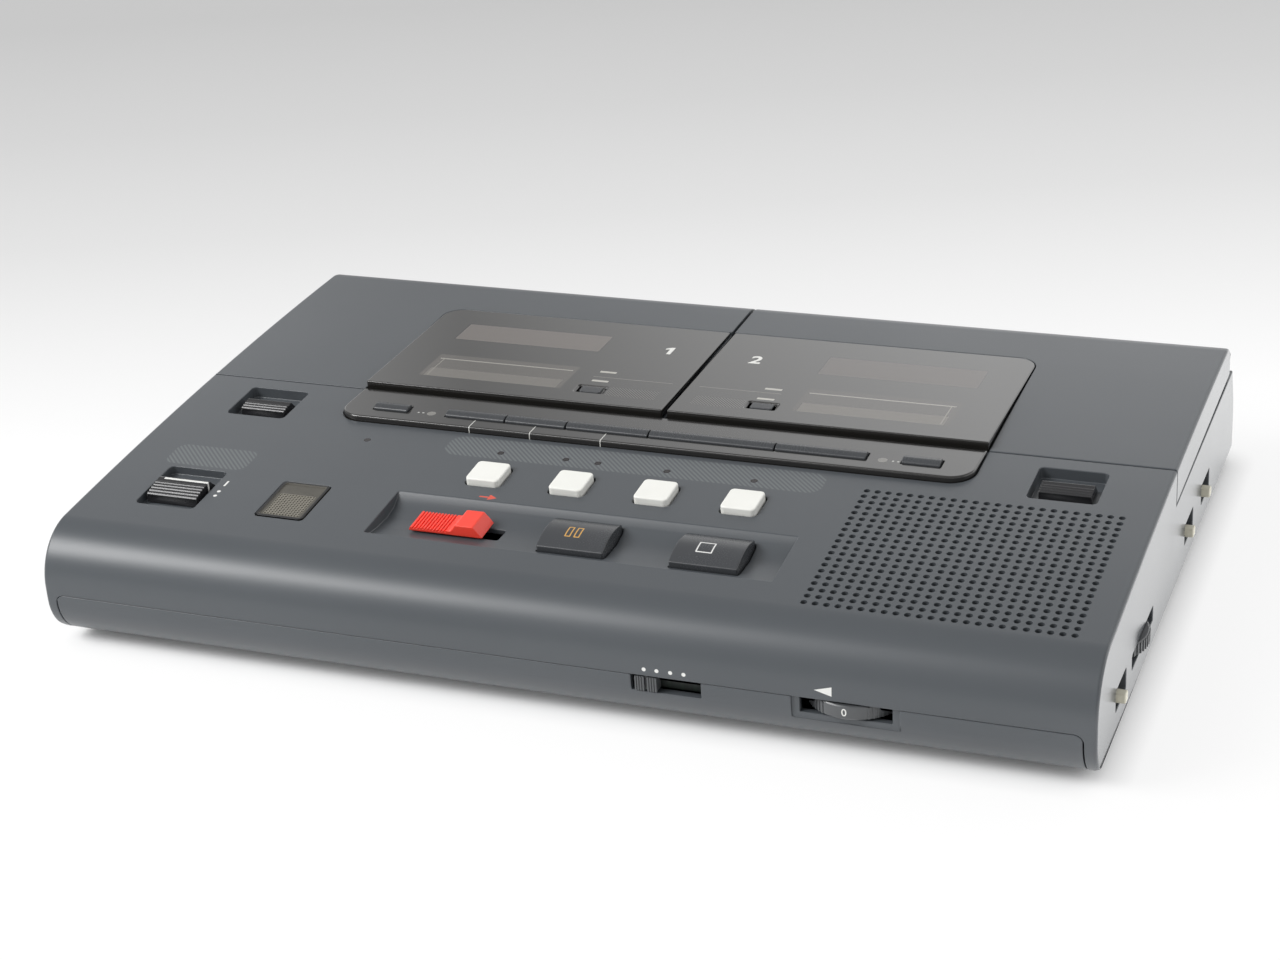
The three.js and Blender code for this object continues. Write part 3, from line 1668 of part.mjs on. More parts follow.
function placeLid(number, side) {
  const lid = new THREE.Group();
  lid.position.set(0, hingeY, hingeZ);
  deck.add(lid);
  const aboutHinge = (geometry) => geometry.translate(0, -hingeY, -hingeZ);
  place(lid, `lid_shell_${number}`, aboutHinge(lidShell(side)), charcoal());
  place(lid, `window_panel_${number}`, aboutHinge(windowPanel(side)), smoked());
  const holder = cassetteHolder().translate(side * windowCentreX, 0, 0);
  place(lid, `cassette_holder_${number}`, aboutHinge(holder), darkPlastic());
  const displayZ = topAt(counterWindowY) - hingeZ;
  place(
    lid,
    `counter_display_${number}`,
    counterDisplay(),
    bronze(),
    side * windowCentreX,
    counterWindowY - hingeY,
    displayZ,
    slopeAt(counterWindowY),
  );
  place(
    lid,
    `counter_button_${number}`,
    counterButton(),
    keyGrey(),
    side * counterButtonX,
    counterButtonY - hingeY,
    topAt(counterButtonY) - hingeZ,
    slopeAt(counterButtonY),
  );
}

function placeMechanism(number, side) {
  const group = new THREE.Group();
  group.position.set(side * windowCentreX, hubY, 0);
  deck.add(group);
  place(group, `deck_plate_${number}`, deckPlate(), steel());
  place(group, `supply_spindle_${number}`, spindle(), white(), -hubSpacing / 2, 0, deckPlateTop);
  place(group, `takeup_spindle_${number}`, spindle(), white(), hubSpacing / 2, 0, deckPlateTop);
  place(group, `capstan_${number}`, capstan(), brass(), capstanX, capstanY - hubY, deckPlateTop);
  const carriageZ = deckPlateTop;
  place(group, `head_carriage_${number}`, headCarriage(), steel(), 0, carriageY() - hubY, carriageZ);
  const rollerZ = deckPlateTop + 2 * partGap + carriageThickness;
  place(group, `pinch_roller_${number}`, pinchRoller(), rubber(), capstanX, rollerY - hubY, rollerZ);
}

place(deck, 'upper_cabinet', upperCabinet(), charcoal());
place(deck, 'lower_cabinet', lowerCabinet(), charcoal());
padPlaces().forEach(([x, y], i) => {
  const name = ['foot_front_left', 'foot_front_right', 'foot_rear_left', 'foot_rear_right'][i];
  place(deck, name, pad(), rubber(), x, y, 0);
});
placeOnTop('speaker_grille', speakerGrille(), charcoal(), grilleX, grilleY);
placeOnTop('speaker', speaker(), darkPlastic(), grilleX, grilleY);
placeOnTop('mic_plate', micPlate(), bronze(), micX, micY);
placeLid(1, -1);
placeLid(2, 1);
placeMechanism(1, -1);
placeMechanism(2, 1);

place(deck, 'key_bar', keyBar(), gloss());
transportKeys().forEach(({ x, width }, i) => {
  const name = `transport_key_${i + 1}`;
  place(deck, name, stripKey(width), keyGrey(), x, keyRowY(), barTopAt(keyRowY()));
});
[-1, 1].forEach((side, i) => {
  const name = `deck_key_${i + 1}`;
  place(deck, name, stripKey(deckKeyWidth), keyGrey(), side * deckKeyX, keyRowY(), barTopAt(keyRowY()));
});
buttonPlaces().forEach((x, i) => {
  placeOnTop(`mode_button_${i + 1}`, modeButton(), white(), x, buttonRowY);
});
placeOnTop('pause_key', bigKey(), keyGrey(), pauseKeyX, bigKeyY);
placeOnTop('stop_key', bigKey(), keyGrey(), stopKeyX, bigKeyY);
placeOnTop('record_slider', recordSlider(), red(), recordX, recordY);
[-1, 1].forEach((side, i) => {
  const knob = sliderKnob(
    ejectKnobWidth,
    ejectKnobLength,
    ejectKnobTop,
    ejectSink,
    0,
    3,
    ejectKnobTop / 3,
    powerRibDepth,
  );
  placeOnTop(`eject_slider_${i + 1}`, knob, knobBlack(), side * ejectX, ejectY);
});
const powerKnob = sliderKnob(
  powerKnobWidth,
  powerKnobLength,
  powerKnobTop,
  powerSink,
  powerKnobProud,
  powerRibs,
  powerRibPitch,
  powerRibDepth,
);
placeOnTop('power_slider', powerKnob, knobBlack(), powerX, powerY);

const volumeWheel = knurledWheel(volumeRadius, volumeThickness, volumeTeeth, volumeToothDepth);
place(deck, 'volume_wheel', volumeWheel, knobBlack(), volumeX, volumeY, volumeMiddle);
const sideWheel = knurledWheel(sideWheelRadius, sideWheelThickness, sideWheelTeeth, sideWheelToothDepth);
place(deck, 'side_wheel', sideWheel, knobBlack(), sideWheelX, sideWheelY, sideSlotMiddle);
const monitorStart = monitorX - monitorTravel / 2;
place(deck, 'monitor_switch', monitorKnob(), knobBlack(), monitorStart, noseTipY, monitorMiddle);
sideSwitchPlaces.forEach((y, i) => {
  const start = y - sideKnobTravel / 2;
  place(deck, `side_switch_${i + 1}`, sideKnob(), cream(), half, start, sideSlotMiddle);
});
place(deck, 'jack_block', jackBlock(), darkPlastic(), partGap - innerHalf, jackFirstY, jackMiddle);
place(deck, 'power_inlet', powerInlet(), darkPlastic(), -half, inletY, inletMiddle);
place(deck, 'circuit_board', circuitBoard(), boardGreen());

export default deck;
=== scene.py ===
# Looks of a double cassette deck: a flat desk unit with two hinged lids, a strip of keys, push
# buttons, sliders, a speaker grille and thumb wheels.
# Shapes are drawn in millimetres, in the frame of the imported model, and finished pieces are in metres.
import math
import bpy
import bmesh
from mathutils import Matrix, Vector

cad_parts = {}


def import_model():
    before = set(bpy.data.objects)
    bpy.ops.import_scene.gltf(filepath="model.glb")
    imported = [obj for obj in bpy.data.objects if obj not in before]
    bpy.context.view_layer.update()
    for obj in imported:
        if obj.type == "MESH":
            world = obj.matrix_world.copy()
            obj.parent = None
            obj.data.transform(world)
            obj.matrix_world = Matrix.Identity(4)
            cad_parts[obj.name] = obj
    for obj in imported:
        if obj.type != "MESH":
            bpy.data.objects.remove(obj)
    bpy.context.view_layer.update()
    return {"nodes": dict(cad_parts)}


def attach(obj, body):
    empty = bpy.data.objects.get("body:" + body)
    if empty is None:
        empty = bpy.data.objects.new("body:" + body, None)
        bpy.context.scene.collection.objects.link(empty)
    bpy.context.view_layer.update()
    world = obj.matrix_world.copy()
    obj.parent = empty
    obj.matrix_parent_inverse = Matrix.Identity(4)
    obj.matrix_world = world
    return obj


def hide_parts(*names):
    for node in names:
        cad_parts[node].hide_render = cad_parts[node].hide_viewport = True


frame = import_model()
scene = bpy.context.scene
MM = 0.001
MERGE = 0.002
PRINT_DEPTH = 0.05

# Case
HALF = 147.5
INNER_HALF = 144.3
LOWER_HALF = 144.0
REAR_Y = 101.1
TIP_Y = -101.1
SUMMIT_Y = 86.6
CASE_HEIGHT = 43.25
ARCH_RISE = 8.28
NOSE_RADIUS = 16.0
NOSE_Y = TIP_Y + NOSE_RADIUS
NOSE_Z = 18.97
FOOT_HEIGHT = 2.0
NOSE_FOOT = 12.97
REAR_FOOT = 6.0
REAR_TOP_Y = 93.1
REAR_CORNER = 4.5
BOTTOM_EDGE = 4.2
WALL = 2.5
RIM_FRONT = 30.4
RIM_RISE = 1.5
STEP_Y = 0.5
PARTING = NOSE_Z - 2.0
PARTING_CORNER = 2.5
GAP = 0.3
OVER = 2.0
SIDE_EDGE = 1.0
FINE_EDGE = 0.28
NOSE_DROP = NOSE_RADIUS + ARCH_RISE
ARCH_RADIUS = ((SUMMIT_Y - NOSE_Y) ** 2 + NOSE_DROP ** 2 - NOSE_RADIUS ** 2) / (2 * ARCH_RISE)
ARCH_Z = CASE_HEIGHT - ARCH_RADIUS
NOSE_ANGLE = math.degrees(math.atan2(NOSE_Z - ARCH_Z, NOSE_Y - SUMMIT_Y))

# Lids
LID_FRONT = 1.1
LID_REAR = 90.6
LID_ROUND = 10.0
LID_SKIN = 2.4
LID_WALL = 1.8
LID_MID_GAP = 1.0
HINGE_Y = 86.4167
HINGE_Z = 35.9095
HINGE_INSET = 3.6
HINGE_BEND = math.degrees(0.4303)
PIN_RADIUS = 1.05
EAR_RADIUS = 2.0
EAR_THICKNESS = 3.0
EARS = (9.0, 134.1)
LID_SWING = 42.0
WINDOW_X = 58.7
PANEL_IN = 0.8
PANEL_OUT = 95.5
PANEL_FRONT = 1.7
PANEL_REAR = 62.6
PANEL_SEAT = 1.2
PANEL_PROUD = 2.2
PANEL_PROUD = 2.2
PANEL_LIP = 0.1
PANEL_CORNER = 6.0
LID_WINDOWS = ((48.6, 12.6, 45.6), (46.9, 17.1, 18.1))
COUNTER_BUTTON = (26.5, 11.4)
COUNTER_HOLE = (7.2, 4.0)

# Front deck
BAR_FRONT = -19.1
BAR_REAR = 0.2
BAR_HALF = 95.5
BAR_CORNER = 7.0
BAR_PROUD_FRONT = 2.0
BAR_PROUD_REAR = 0.6
KEY_Y = -11.6
KEY_DEPTH = 4.2
KEY_WIDTHS = (18.6, 18.6, 25.0, 37.2, 26.1)
KEY_START = -62.5
KEY_ROW = 127.1
KEY_GAP = 0.4
KEY_SLOT = 1.2
DECK_KEY_X = 80.3
DECK_KEY_WIDTH = 10.8
DECK_KEY_HALF = DECK_KEY_WIDTH / 2
BUTTON_XS = (-36.1, -11.1, 13.9, 38.9)
BUTTON_Y = -42.3
TRAY_X = 0.3
TRAY_REAR = -55.1
TRAY_WIDTH = 116.5
TRAY_DEPTH = 22.5
TRAY_SINK = 3.6
TRAY_FRONT_SINK = 1.7
TRAY_FLOOR = 1.6
BIG_KEY_XS = (0.4, 38.0)
BIG_KEY_Y = -65.6
BIG_KEY = (19.0, 15.0)
RECORD_X = -37.0
RECORD_Y = -66.5
EJECT_X = 121.0
EJECT_Y = -13.8
EJECT_SIZE = (19.0, 17.5, 3.4)
POWER_X = -121.0
POWER_Y = -66.2
POWER_SIZE = (18.5, 21.0, 2.6)
MIC_X = -85.3
MIC_Y = -66.4
MIC_SIZE = (14.5, 18.6)
MIC_FIELD = (-5.5, 5.5, -7.7, 3.3)
MIC_PITCH = 0.9167
GRILLE_X = 103.9
GRILLE_Y = -56.5
HOLE_PITCH = 3.0
HOLE_COLUMNS = 24
HOLE_ROWS = 20

# Front edge and sides
VOLUME_X = 84.5
VOLUME_Y = -89.1
VOLUME_Z = 14.67
VOLUME_RADIUS = 13.0
MONITOR_X = 37.0
SWITCH_YS = (48.3, 22.0, -72.4)
SIDE_Z = 14.2
SWITCH_SLOT = (13.0, 6.0)
SIDE_WHEEL = (135.3, -44.6)
SIDE_WHEEL_RADIUS = 14.0
SIDE_WHEEL_SLOT = (28.0, 4.4)
JACK_YS = (-52.0, -38.0, -24.0)
JACK_Z = 14.1
JACK_HOLE = 3.9
INLET = (45.0, 15.4)
INLET_HOLE = (19.6, 11.6)

# Bottom
SCREW_XS = (-103.5, 0.0, 103.5)
SCREW_YS = (-82.1, 85.1)
FOOT_XS = (-125.5, 125.5)
FOOT_YS = (-77.1, 81.1)

# Mechanisms under the lids
WELL_SPAN = (4.6, 112.8)
HUB_OFFSET = 21.25
HUB_Y = 45.6
CAPSTAN_OFFSET = 14.0
CAPSTAN_Y = 15.6
ROLLER_Y = 7.5
PLATE_Z = 23.5
ROLLER_Z = 25.1

# Marks printed on the case
LAMP_DOTS = ((-38.2, -29.0), (-18.3, -28.7), (-8.5, -28.9), (12.2, -29.2), (37.7, -29.3), (-80.1, -29.7))
MONITOR_DOTS = (31.3, 34.8, 38.5, 42.1)


# Heights along the case
def top_at(y):
    return ARCH_Z + math.sqrt(ARCH_RADIUS ** 2 - (y - SUMMIT_Y) ** 2)


def slope_at(y):
    return math.asin((SUMMIT_Y - y) / ARCH_RADIUS)


def rim_at(y):
    return RIM_FRONT + RIM_RISE * (y - STEP_Y) / (REAR_TOP_Y - STEP_Y)


def bar_top_at(y):
    share = (y - BAR_FRONT) / (BAR_REAR - BAR_FRONT)
    front = top_at(BAR_FRONT) + BAR_PROUD_FRONT
    return front + (top_at(BAR_REAR) + BAR_PROUD_REAR - front) * share


def along_top(start, end, steps, sunk=0.0):
    ys = [start + (end - start) * i / steps for i in range(steps + 1)]
    return [(y, top_at(y) - sunk) for y in ys]


# Outlines
def arc(u, v, radius, start, end, steps):
    turns = [math.radians(start + (end - start) * i / steps) for i in range(steps + 1)]
    return [(u + radius * math.cos(t), v + radius * math.sin(t)) for t in turns]


def rounded(width, depth, radius, u=0.0, v=0.0, steps=5):
    a = width / 2 - radius
    b = depth / 2 - radius
    return (arc(u + a, v + b, radius, 0, 90, steps) + arc(u - a, v + b, radius, 90, 180, steps)
            + arc(u - a, v - b, radius, 180, 270, steps) + arc(u + a, v - b, radius, 270, 360, steps))


def circle(radius, steps=32, u=0.0, v=0.0):
    return arc(u, v, radius, 0, 360, steps)[:-1]


# Solids drawn from outlines
def prism(axis, points, low, high):
    order = {"X": lambda u, v, w: (w, u, v), "Y": lambda u, v, w: (u, w, v), "Z": lambda u, v, w: (u, v, w)}
    place = order[axis]
    bm = bmesh.new()
    lower = [bm.verts.new(place(u, v, low)) for u, v in points]
    upper = [bm.verts.new(place(u, v, high)) for u, v in points]
    bm.faces.new(lower)
    bm.faces.new(upper)
    for i in range(len(points)):
        j = (i + 1) % len(points)
        bm.faces.new((lower[i], lower[j], upper[j], upper[i]))
    bmesh.ops.recalc_face_normals(bm, faces=bm.faces[:])
    return bm


def block(x0, x1, y0, y1, z0, z1):
    return prism("Z", [(x0, y0), (x1, y0), (x1, y1), (x0, y1)], z0, z1)


def turned(profile, steps=48):
    bm = bmesh.new()
    rings = []
    for radius, z in profile:
        if radius < 1e-6:
            rings.append([bm.verts.new((0, 0, z))])
        else:
            rings.append([bm.verts.new((u, v, z)) for u, v in circle(radius, steps)])
    for low, high in zip(rings, rings[1:]):
        for i in range(steps):
            j = (i + 1) % steps
            corners = [low[i % len(low)], low[j % len(low)], high[j % len(high)], high[i % len(high)]]
            face = [c for k, c in enumerate(corners) if c not in corners[:k]]
            if len(face) > 2:
                bm.faces.new(face)
    bmesh.ops.recalc_face_normals(bm, faces=bm.faces[:])
    return bm


def moved(bm, x=0.0, y=0.0, z=0.0, tilt=0.0, spin=0.0):
    turn = Matrix.Translation((x, y, z)) @ Matrix.Rotation(tilt, 4, "X") @ Matrix.Rotation(spin, 4, "Z")
    bm.transform(turn)
    return bm


def on_top(bm, x, y):
    return moved(bm, x, y, top_at(y), slope_at(y))


def on_slope(shape, low, high, x, y):
    return on_top(prism("Z", shape, low, high), x, y)


# Meshes
def linked(name, data):
    made = bpy.data.objects.new(name, data)
    scene.collection.objects.link(made)
    return made


def mesh_of(bm, name="draft"):
    mesh = bpy.data.meshes.new(name)
    bm.to_mesh(mesh)
    bm.free()
    return mesh


def opened(mesh):
    bm = bmesh.new()
    bm.from_mesh(mesh)
    return bm


def temporary(bm):
    return linked("draft", mesh_of(bm))


def evaluated(draft, *tools):
    graph = bpy.context.evaluated_depsgraph_get()
    mesh = bpy.data.meshes.new_from_object(draft.evaluated_get(graph))
    for used in (*tools, draft):
        bpy.data.objects.remove(used)
    return mesh


def smooth(bm):
    for face in bm.faces:
        face.smooth = True


def closed(bm):
    bmesh.ops.remove_doubles(bm, verts=bm.verts[:], dist=0.001)
    bmesh.ops.recalc_face_normals(bm, faces=bm.faces[:])
    return bm


def flattened(bm, degrees=0.15):
    bmesh.ops.dissolve_limit(bm, angle_limit=math.radians(degrees), verts=bm.verts[:], edges=bm.edges[:])


def solid(base, joins=(), cuts=(), keeps=()):
    draft = temporary(base)
    tools = []
    for operation, group in (("INTERSECT", keeps), ("UNION", joins), ("DIFFERENCE", cuts)):
        for bm in group:
            tools.append(temporary(bm))
            modifier = draft.modifiers.new("shape", "BOOLEAN")
            modifier.solver = "MANIFOLD"
            modifier.operation = operation
            modifier.object = tools[-1]
    result = opened(evaluated(draft, *tools))
    bmesh.ops.remove_doubles(result, verts=result.verts[:], dist=MERGE)
    bmesh.ops.dissolve_degenerate(result, edges=result.edges[:], dist=MERGE)
    return result


def with_weighted_normals(draft):
    draft.modifiers.new("normals", "WEIGHTED_NORMAL").keep_sharp = True
    return evaluated(draft)


# Rounded edges: every edge sharper than the limit is bevelled by the width that the rule gives
def softened(bm, width, rule=None, limit=32, segments=3):
    flattened(bm)
    weight = bm.edges.layers.float.new("bevel_weight_edge")
    for edge in bm.edges:
        if len(edge.link_faces) == 2 and edge.calc_face_angle(0) > math.radians(limit):
            edge[weight] = rule((edge.verts[0].co + edge.verts[1].co) / 2) if rule else 1.0
    smooth(bm)
    draft = temporary(bm)
    bevel = draft.modifiers.new("edges", "BEVEL")
    bevel.limit_method = "WEIGHT"
    bevel.width = width
    bevel.segments = segments
    bevel.use_clamp_overlap = False
    bevel.loop_slide = False
    bevel.miter_outer = "MITER_ARC"
    return with_weighted_normals(draft)


def piece(name, mesh, body, finish, *nodes):
    mesh.transform(Matrix.Scale(MM, 4))
    mesh.name = name
    mesh.materials.clear()
    mesh.materials.append(finish.material)
    made = linked(name, mesh)
    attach(made, body)
    if nodes:
        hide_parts(*nodes)


# Node values: a socket that takes part in sums
class Signal:
    def __init__(self, nodes, socket):
        self.nodes = nodes
        self.socket = socket

    def sum(self, operation, *values, clamp=False):
        node = self.nodes.node("ShaderNodeMath", values, operation=operation, use_clamp=clamp)
        return Signal(self.nodes, node.outputs[0])

    def __add__(self, other):
        return self.sum("ADD", self, other)

    __radd__ = __add__

    def __sub__(self, other):
        return self.sum("SUBTRACT", self, other)

    def __rsub__(self, other):
        return self.sum("SUBTRACT", other, self)

    def __mul__(self, other):
        return self.sum("MULTIPLY", self, other)

    __rmul__ = __mul__

    def __truediv__(self, other):
        return self.sum("DIVIDE", self, other)

    def __rtruediv__(self, other):
        return self.sum("DIVIDE", other, self)

    def __abs__(self):
        return self.sum("ABSOLUTE", self)

    def above(self, other):
        return self.sum("GREATER_THAN", self, other)

    def below(self, other):
        return self.sum("LESS_THAN", self, other)

    def most(self, other):
        return self.sum("MAXIMUM", self, other)

    def root(self):
        return self.sum("SQRT", self)

    def clamped(self):
        return self.sum("ADD", self, 0.0, clamp=True)

    def wave(self, length):
        return self.sum("PINGPONG", self, length / 2) / (length / 2)

    def edge(self, soft):
        return self.sum("MULTIPLY_ADD", self, 1 / soft, 0.5, clamp=True)


def total(signals):
    first, *rest = signals
    return sum(rest, first)


class Nodes:
    """A node tree: each node gets its settings first, then the values or links of its sockets."""

    def __init__(self, tree):
        self.tree = tree

    def node(self, kind, values=(), **settings):
        node = self.tree.nodes.new(kind)
        for key, value in settings.items():
            setattr(node, key, value)
        for key, value in values.items() if isinstance(values, dict) else enumerate(values):
            self.put(node.inputs[key], value)
        return node

    def put(self, socket, value):
        if isinstance(value, Signal):
            value = value.socket
        if isinstance(value, bpy.types.NodeSocket):
            self.tree.links.new(value, socket)
        else:
            socket.default_value = value

    def split(self, vector):
        return [Signal(self, socket) for socket in self.node("ShaderNodeSeparateXYZ", [vector]).outputs]


# Repeats drawn with geometry nodes: the draft is one tile, screw or rib
class Repeats(Nodes):
    def __init__(self, name, *inputs):
        super().__init__(bpy.data.node_groups.new(name, "GeometryNodeTree"))
        face = self.tree.interface
        for label, kind in (("Geometry", "Geometry"), *inputs, ("Finish", "Material")):
            face.new_socket(label, in_out="INPUT", socket_type="NodeSocket" + kind)
        face.new_socket("Geometry", in_out="OUTPUT", socket_type="NodeSocketGeometry")
        self.given = self.node("NodeGroupInput").outputs

    def value(self, label):
        return Signal(self, self.given[label])

    def placed(self, points, **more):
        values = {"Points": points, "Instance": self.given["Geometry"], **more}
        made = self.node("GeometryNodeInstanceOnPoints", values)
        return self.node("GeometryNodeRealizeInstances", [made.outputs[0]]).outputs[0]

    def dressed(self, geometry):
        values = {"Geometry": geometry, "Material": self.given["Finish"]}
        self.node("NodeGroupOutput", [self.node("GeometryNodeSetMaterial", values).outputs[0]])
        return self.tree


def grid_tree(name, arched):
    tree = Repeats(name, ("Columns", "Int"), ("Rows", "Int"), ("Step across", "Float"), ("Step along", "Float"),
                   ("Centre x", "Float"), ("Centre y", "Float"))
    value = tree.value
    grid = tree.node("GeometryNodeMeshGrid", {
        "Size X": (value("Columns") - 1) * value("Step across"),
        "Size Y": (value("Rows") - 1) * value("Step along"),
        "Vertices X": value("Columns"), "Vertices Y": value("Rows")})
    real = tree.placed(grid.outputs["Mesh"])
    merge = tree.node("GeometryNodeMergeByDistance", {"Geometry": real, "Distance": 0.01})
    x, y, z = tree.split(tree.node("GeometryNodeInputPosition").outputs[0])
    x = x + value("Centre x")
    y = y + value("Centre y")
    if arched:
        run = y - SUMMIT_Y
        z = (ARCH_RADIUS ** 2 - run * run).root() + ARCH_Z + z
    spot = tree.node("ShaderNodeCombineXYZ", [x, y, z]).outputs[0]
    place = tree.node("GeometryNodeSetPosition", {"Geometry": merge.outputs[0], "Position": spot})
    return tree.dressed(place.outputs[0])


# Repeats around a ring, such as the ridges of a thumb wheel, with a bare stretch at the front
def ring_tree(name):
    tree = Repeats(name, ("Count", "Int"), ("Radius", "Float"), ("Bare from", "Int"), ("Bare to", "Int"))
    value = tree.value
    ring = tree.node("GeometryNodeMeshCircle", {"Vertices": value("Count"), "Radius": value("Radius")})
    index = Signal(tree, tree.node("GeometryNodeInputIndex").outputs[0])
    shown = index.below(value("Bare from")) + index.above(value("Bare to"))
    turn = index * (2 * math.pi / value("Count"))
    spin = tree.node("ShaderNodeCombineXYZ", {"Z": turn}).outputs[0]
    return tree.dressed(tree.placed(ring.outputs["Mesh"], Selection=shown, Rotation=spin))


def repeated(bm, tree, finish, **sizes):
    draft = temporary(bm)
    modifier = draft.modifiers.new("repeat", "NODES")
    modifier.node_group = tree
    sizes["finish"] = finish.material
    for item in tree.interface.items_tree:
        label = item.name.lower().replace(" ", "_")
        if item.in_out == "INPUT" and label in sizes:
            modifier[item.identifier] = sizes[label]
    return evaluated(draft)


def hole_tile(pitch, radius, thickness, steps=16):
    bm = bmesh.new()
    loops = []
    for z, hole in ((0.0, False), (0.0, True), (-thickness, True), (-thickness, False)):
        loop = []
        for u, v in circle(1.0, steps):
            reach = radius if hole else pitch / 2 / max(abs(u), abs(v))
            loop.append(bm.verts.new((u * reach, v * reach, z)))
        loops.append(loop)
    for outer, inner in zip(loops, loops[1:]):
        for i in range(steps):
            j = (i + 1) % steps
            bm.faces.new((outer[i], outer[j], inner[j], inner[i]))
    bmesh.ops.recalc_face_normals(bm, faces=bm.faces[:])
    if max(bm.faces, key=lambda f: f.calc_center_median().z).normal.z < 0:
        bmesh.ops.reverse_faces(bm, faces=bm.faces[:])
    return bm


def closed_rim(mesh):
    bm = opened(mesh)
    bmesh.ops.bridge_loops(bm, edges=[e for e in bm.edges if e.is_boundary])
    bmesh.ops.recalc_face_normals(bm, faces=bm.faces[:])
    smooth(bm)
    bm.to_mesh(mesh)
    bm.free()
    mesh.set_sharp_from_angle(angle=math.radians(40))
    return mesh


# Finishes: colours are given from 0 to 255
def tint(red, green, blue):
    def linear(value):
        share = value / 255
        return share / 12.92 if share <= 0.04045 else ((share + 0.055) / 1.055) ** 2.4
    return (linear(red), linear(green), linear(blue), 1.0)


class Finish(Nodes):
    """One material: its principled shader, and the values that vary over its surface."""

    def __init__(self, name, slot=None, **constants):
        self.slot = slot or name
        self.material = bpy.data.materials.new(name)
        self.material.use_nodes = True
        super().__init__(self.material.node_tree)
        self.tree.nodes.clear()
        self.shader = self.node("ShaderNodeBsdfPrincipled")
        self.node("ShaderNodeOutputMaterial", [self.shader.outputs[0]])
        self.height = None
        for label, value in constants.items():
            self.shader.inputs[label.replace("_", " ").title().replace("Ior", "IOR")].default_value = value
        self.object = self.node("ShaderNodeTexCoord").outputs["Object"]
        values = {"Vector": self.object, "Scale": 1 / MM}
        self.x, self.y, self.z = self.split(self.node("ShaderNodeVectorMath", values, operation="SCALE").outputs[0])

    def noise(self, size, detail=2.0, stretch=(1.0, 1.0, 1.0)):
        scale = tuple(1 / size / MM * s for s in stretch)
        mapping = self.node("ShaderNodeMapping", {"Vector": self.object, "Scale": scale})
        values = {"Vector": mapping.outputs[0], "Scale": 1.0, "Detail": detail}
        return Signal(self, self.node("ShaderNodeTexNoise", values).outputs[0])

    def mixed(self, share, *colours):
        first, second = (tint(*colour) if isinstance(colour, tuple) else colour for colour in colours)
        return self.node("ShaderNodeMix", {0: share, 6: first, 7: second}, data_type="RGBA").outputs[2]

    def paint(self, share, colour, roughness=None):
        self.colour = self.mixed(share, self.colour, colour)
        if roughness is not None:
            self.roughness = self.roughness + share * (roughness - self.roughness)

    def raise_by(self, height):
        self.height = height if self.height is None else self.height + height

    def grain(self, size, depth, spread):
        grain = self.noise(size, 3.0)
        self.raise_by(grain * depth)
        self.roughness = self.roughness + (grain - 0.5) * spread

    def wear(self, strength, size):
        self.roughness = self.roughness + (self.noise(size, 4.0) - 0.5) * strength

    def done(self):
        self.put(self.shader.inputs["Base Color"], self.colour)
        self.put(self.shader.inputs["Roughness"], self.roughness)
        if self.height is not None:
            bump = self.node("ShaderNodeBump", {"Strength": 1.0, "Distance": MM, "Height": self.height})
            self.put(self.shader.inputs["Normal"], bump.outputs[0])
        return self


# Masks drawn on a surface, in millimetres
def away(u, v):
    return (u * u + v * v).root()


def patch(u, v, low_u, high_u, low_v, high_v, corner=0.3, soft=0.08):
    away_u = (abs(u - (low_u + high_u) / 2) - ((high_u - low_u) / 2 - corner)).most(0.0)
    away_v = (abs(v - (low_v + high_v) / 2) - ((high_v - low_v) / 2 - corner)).most(0.0)
    return (corner - away(away_u, away_v)).edge(soft)


def dot(u, v, at_u, at_v, radius):
    return (radius - away(u - at_u, v - at_v)).edge(0.08)


def frame_mask(u, v, low_u, high_u, low_v, high_v, line, corner=0.3):
    outer = patch(u, v, low_u, high_u, low_v, high_v, corner)
    inner = patch(u, v, low_u + line, high_u - line, low_v + line, high_v - line, max(corner - line, 0.05))
    return outer * (1 - inner)


def hatching(finish, pitch=1.1):
    return (((finish.x + finish.y) * math.sqrt(0.5)).wave(pitch) - 0.5).edge(0.25)


def case_plastic():
    made = Finish("case_plastic")
    made.colour = made.mixed(made.noise(60.0, 3.0), (73, 77, 81), (79, 83, 87))
    made.roughness = 0.34
    made.grain(0.3, 0.006, 0.06)
    made.wear(0.07, 45.0)
    x, y, z = made.x, made.y, made.z
    made.roughness = made.roughness - abs(x).above(HALF - 0.3) * 0.13
    on_deck = z.above(30.0)
    band = patch(x, y, -55.5, 57.0, -32.6, -21.6, 4.0, 0.3) * on_deck
    left = patch(x, y, -134.0, -108.0, -54.1, -43.1, 3.0, 0.3) * on_deck
    made.paint((band + left).clamped() * hatching(made) * 0.85, (108, 113, 114), 0.5)
    lamps = (total(dot(x, y, *at, 1.0) for at in LAMP_DOTS) * on_deck).clamped()
    made.paint(lamps, (30, 26, 28), 0.2)
    made.raise_by(lamps * -0.25)
    white = total([dot(x, y, -109.0, -66.2, 0.55), dot(x, y, -108.9, -68.6, 0.55),
                   patch(x, y, -109.3, -108.7, -63.2, -60.4, 0.1)]) * on_deck
    front = y.below(-88.0)
    white = total([white] + [dot(x, z, at_x, 18.9, 0.55) * front for at_x in MONITOR_DOTS])
    slant = patch(x, z, 76.6, 81.2, 18.4, 21.0, 0.05) * ((x - 76.6) * 0.28).above(abs(z - 19.7))
    made.paint((white + slant * front).clamped(), (225, 225, 222), 0.45)
    shaft = patch(x, y, -34.2, -30.8, -53.6, -53.0, 0.05)
    head = patch(x, y, -31.4, -29.0, -54.6, -52.0, 0.05) * ((-29.0 - x) * 0.6).above(abs(y + 53.3))
    made.paint(((shaft + head) * on_deck).clamped(), (214, 84, 66), 0.45)
    return made.done()


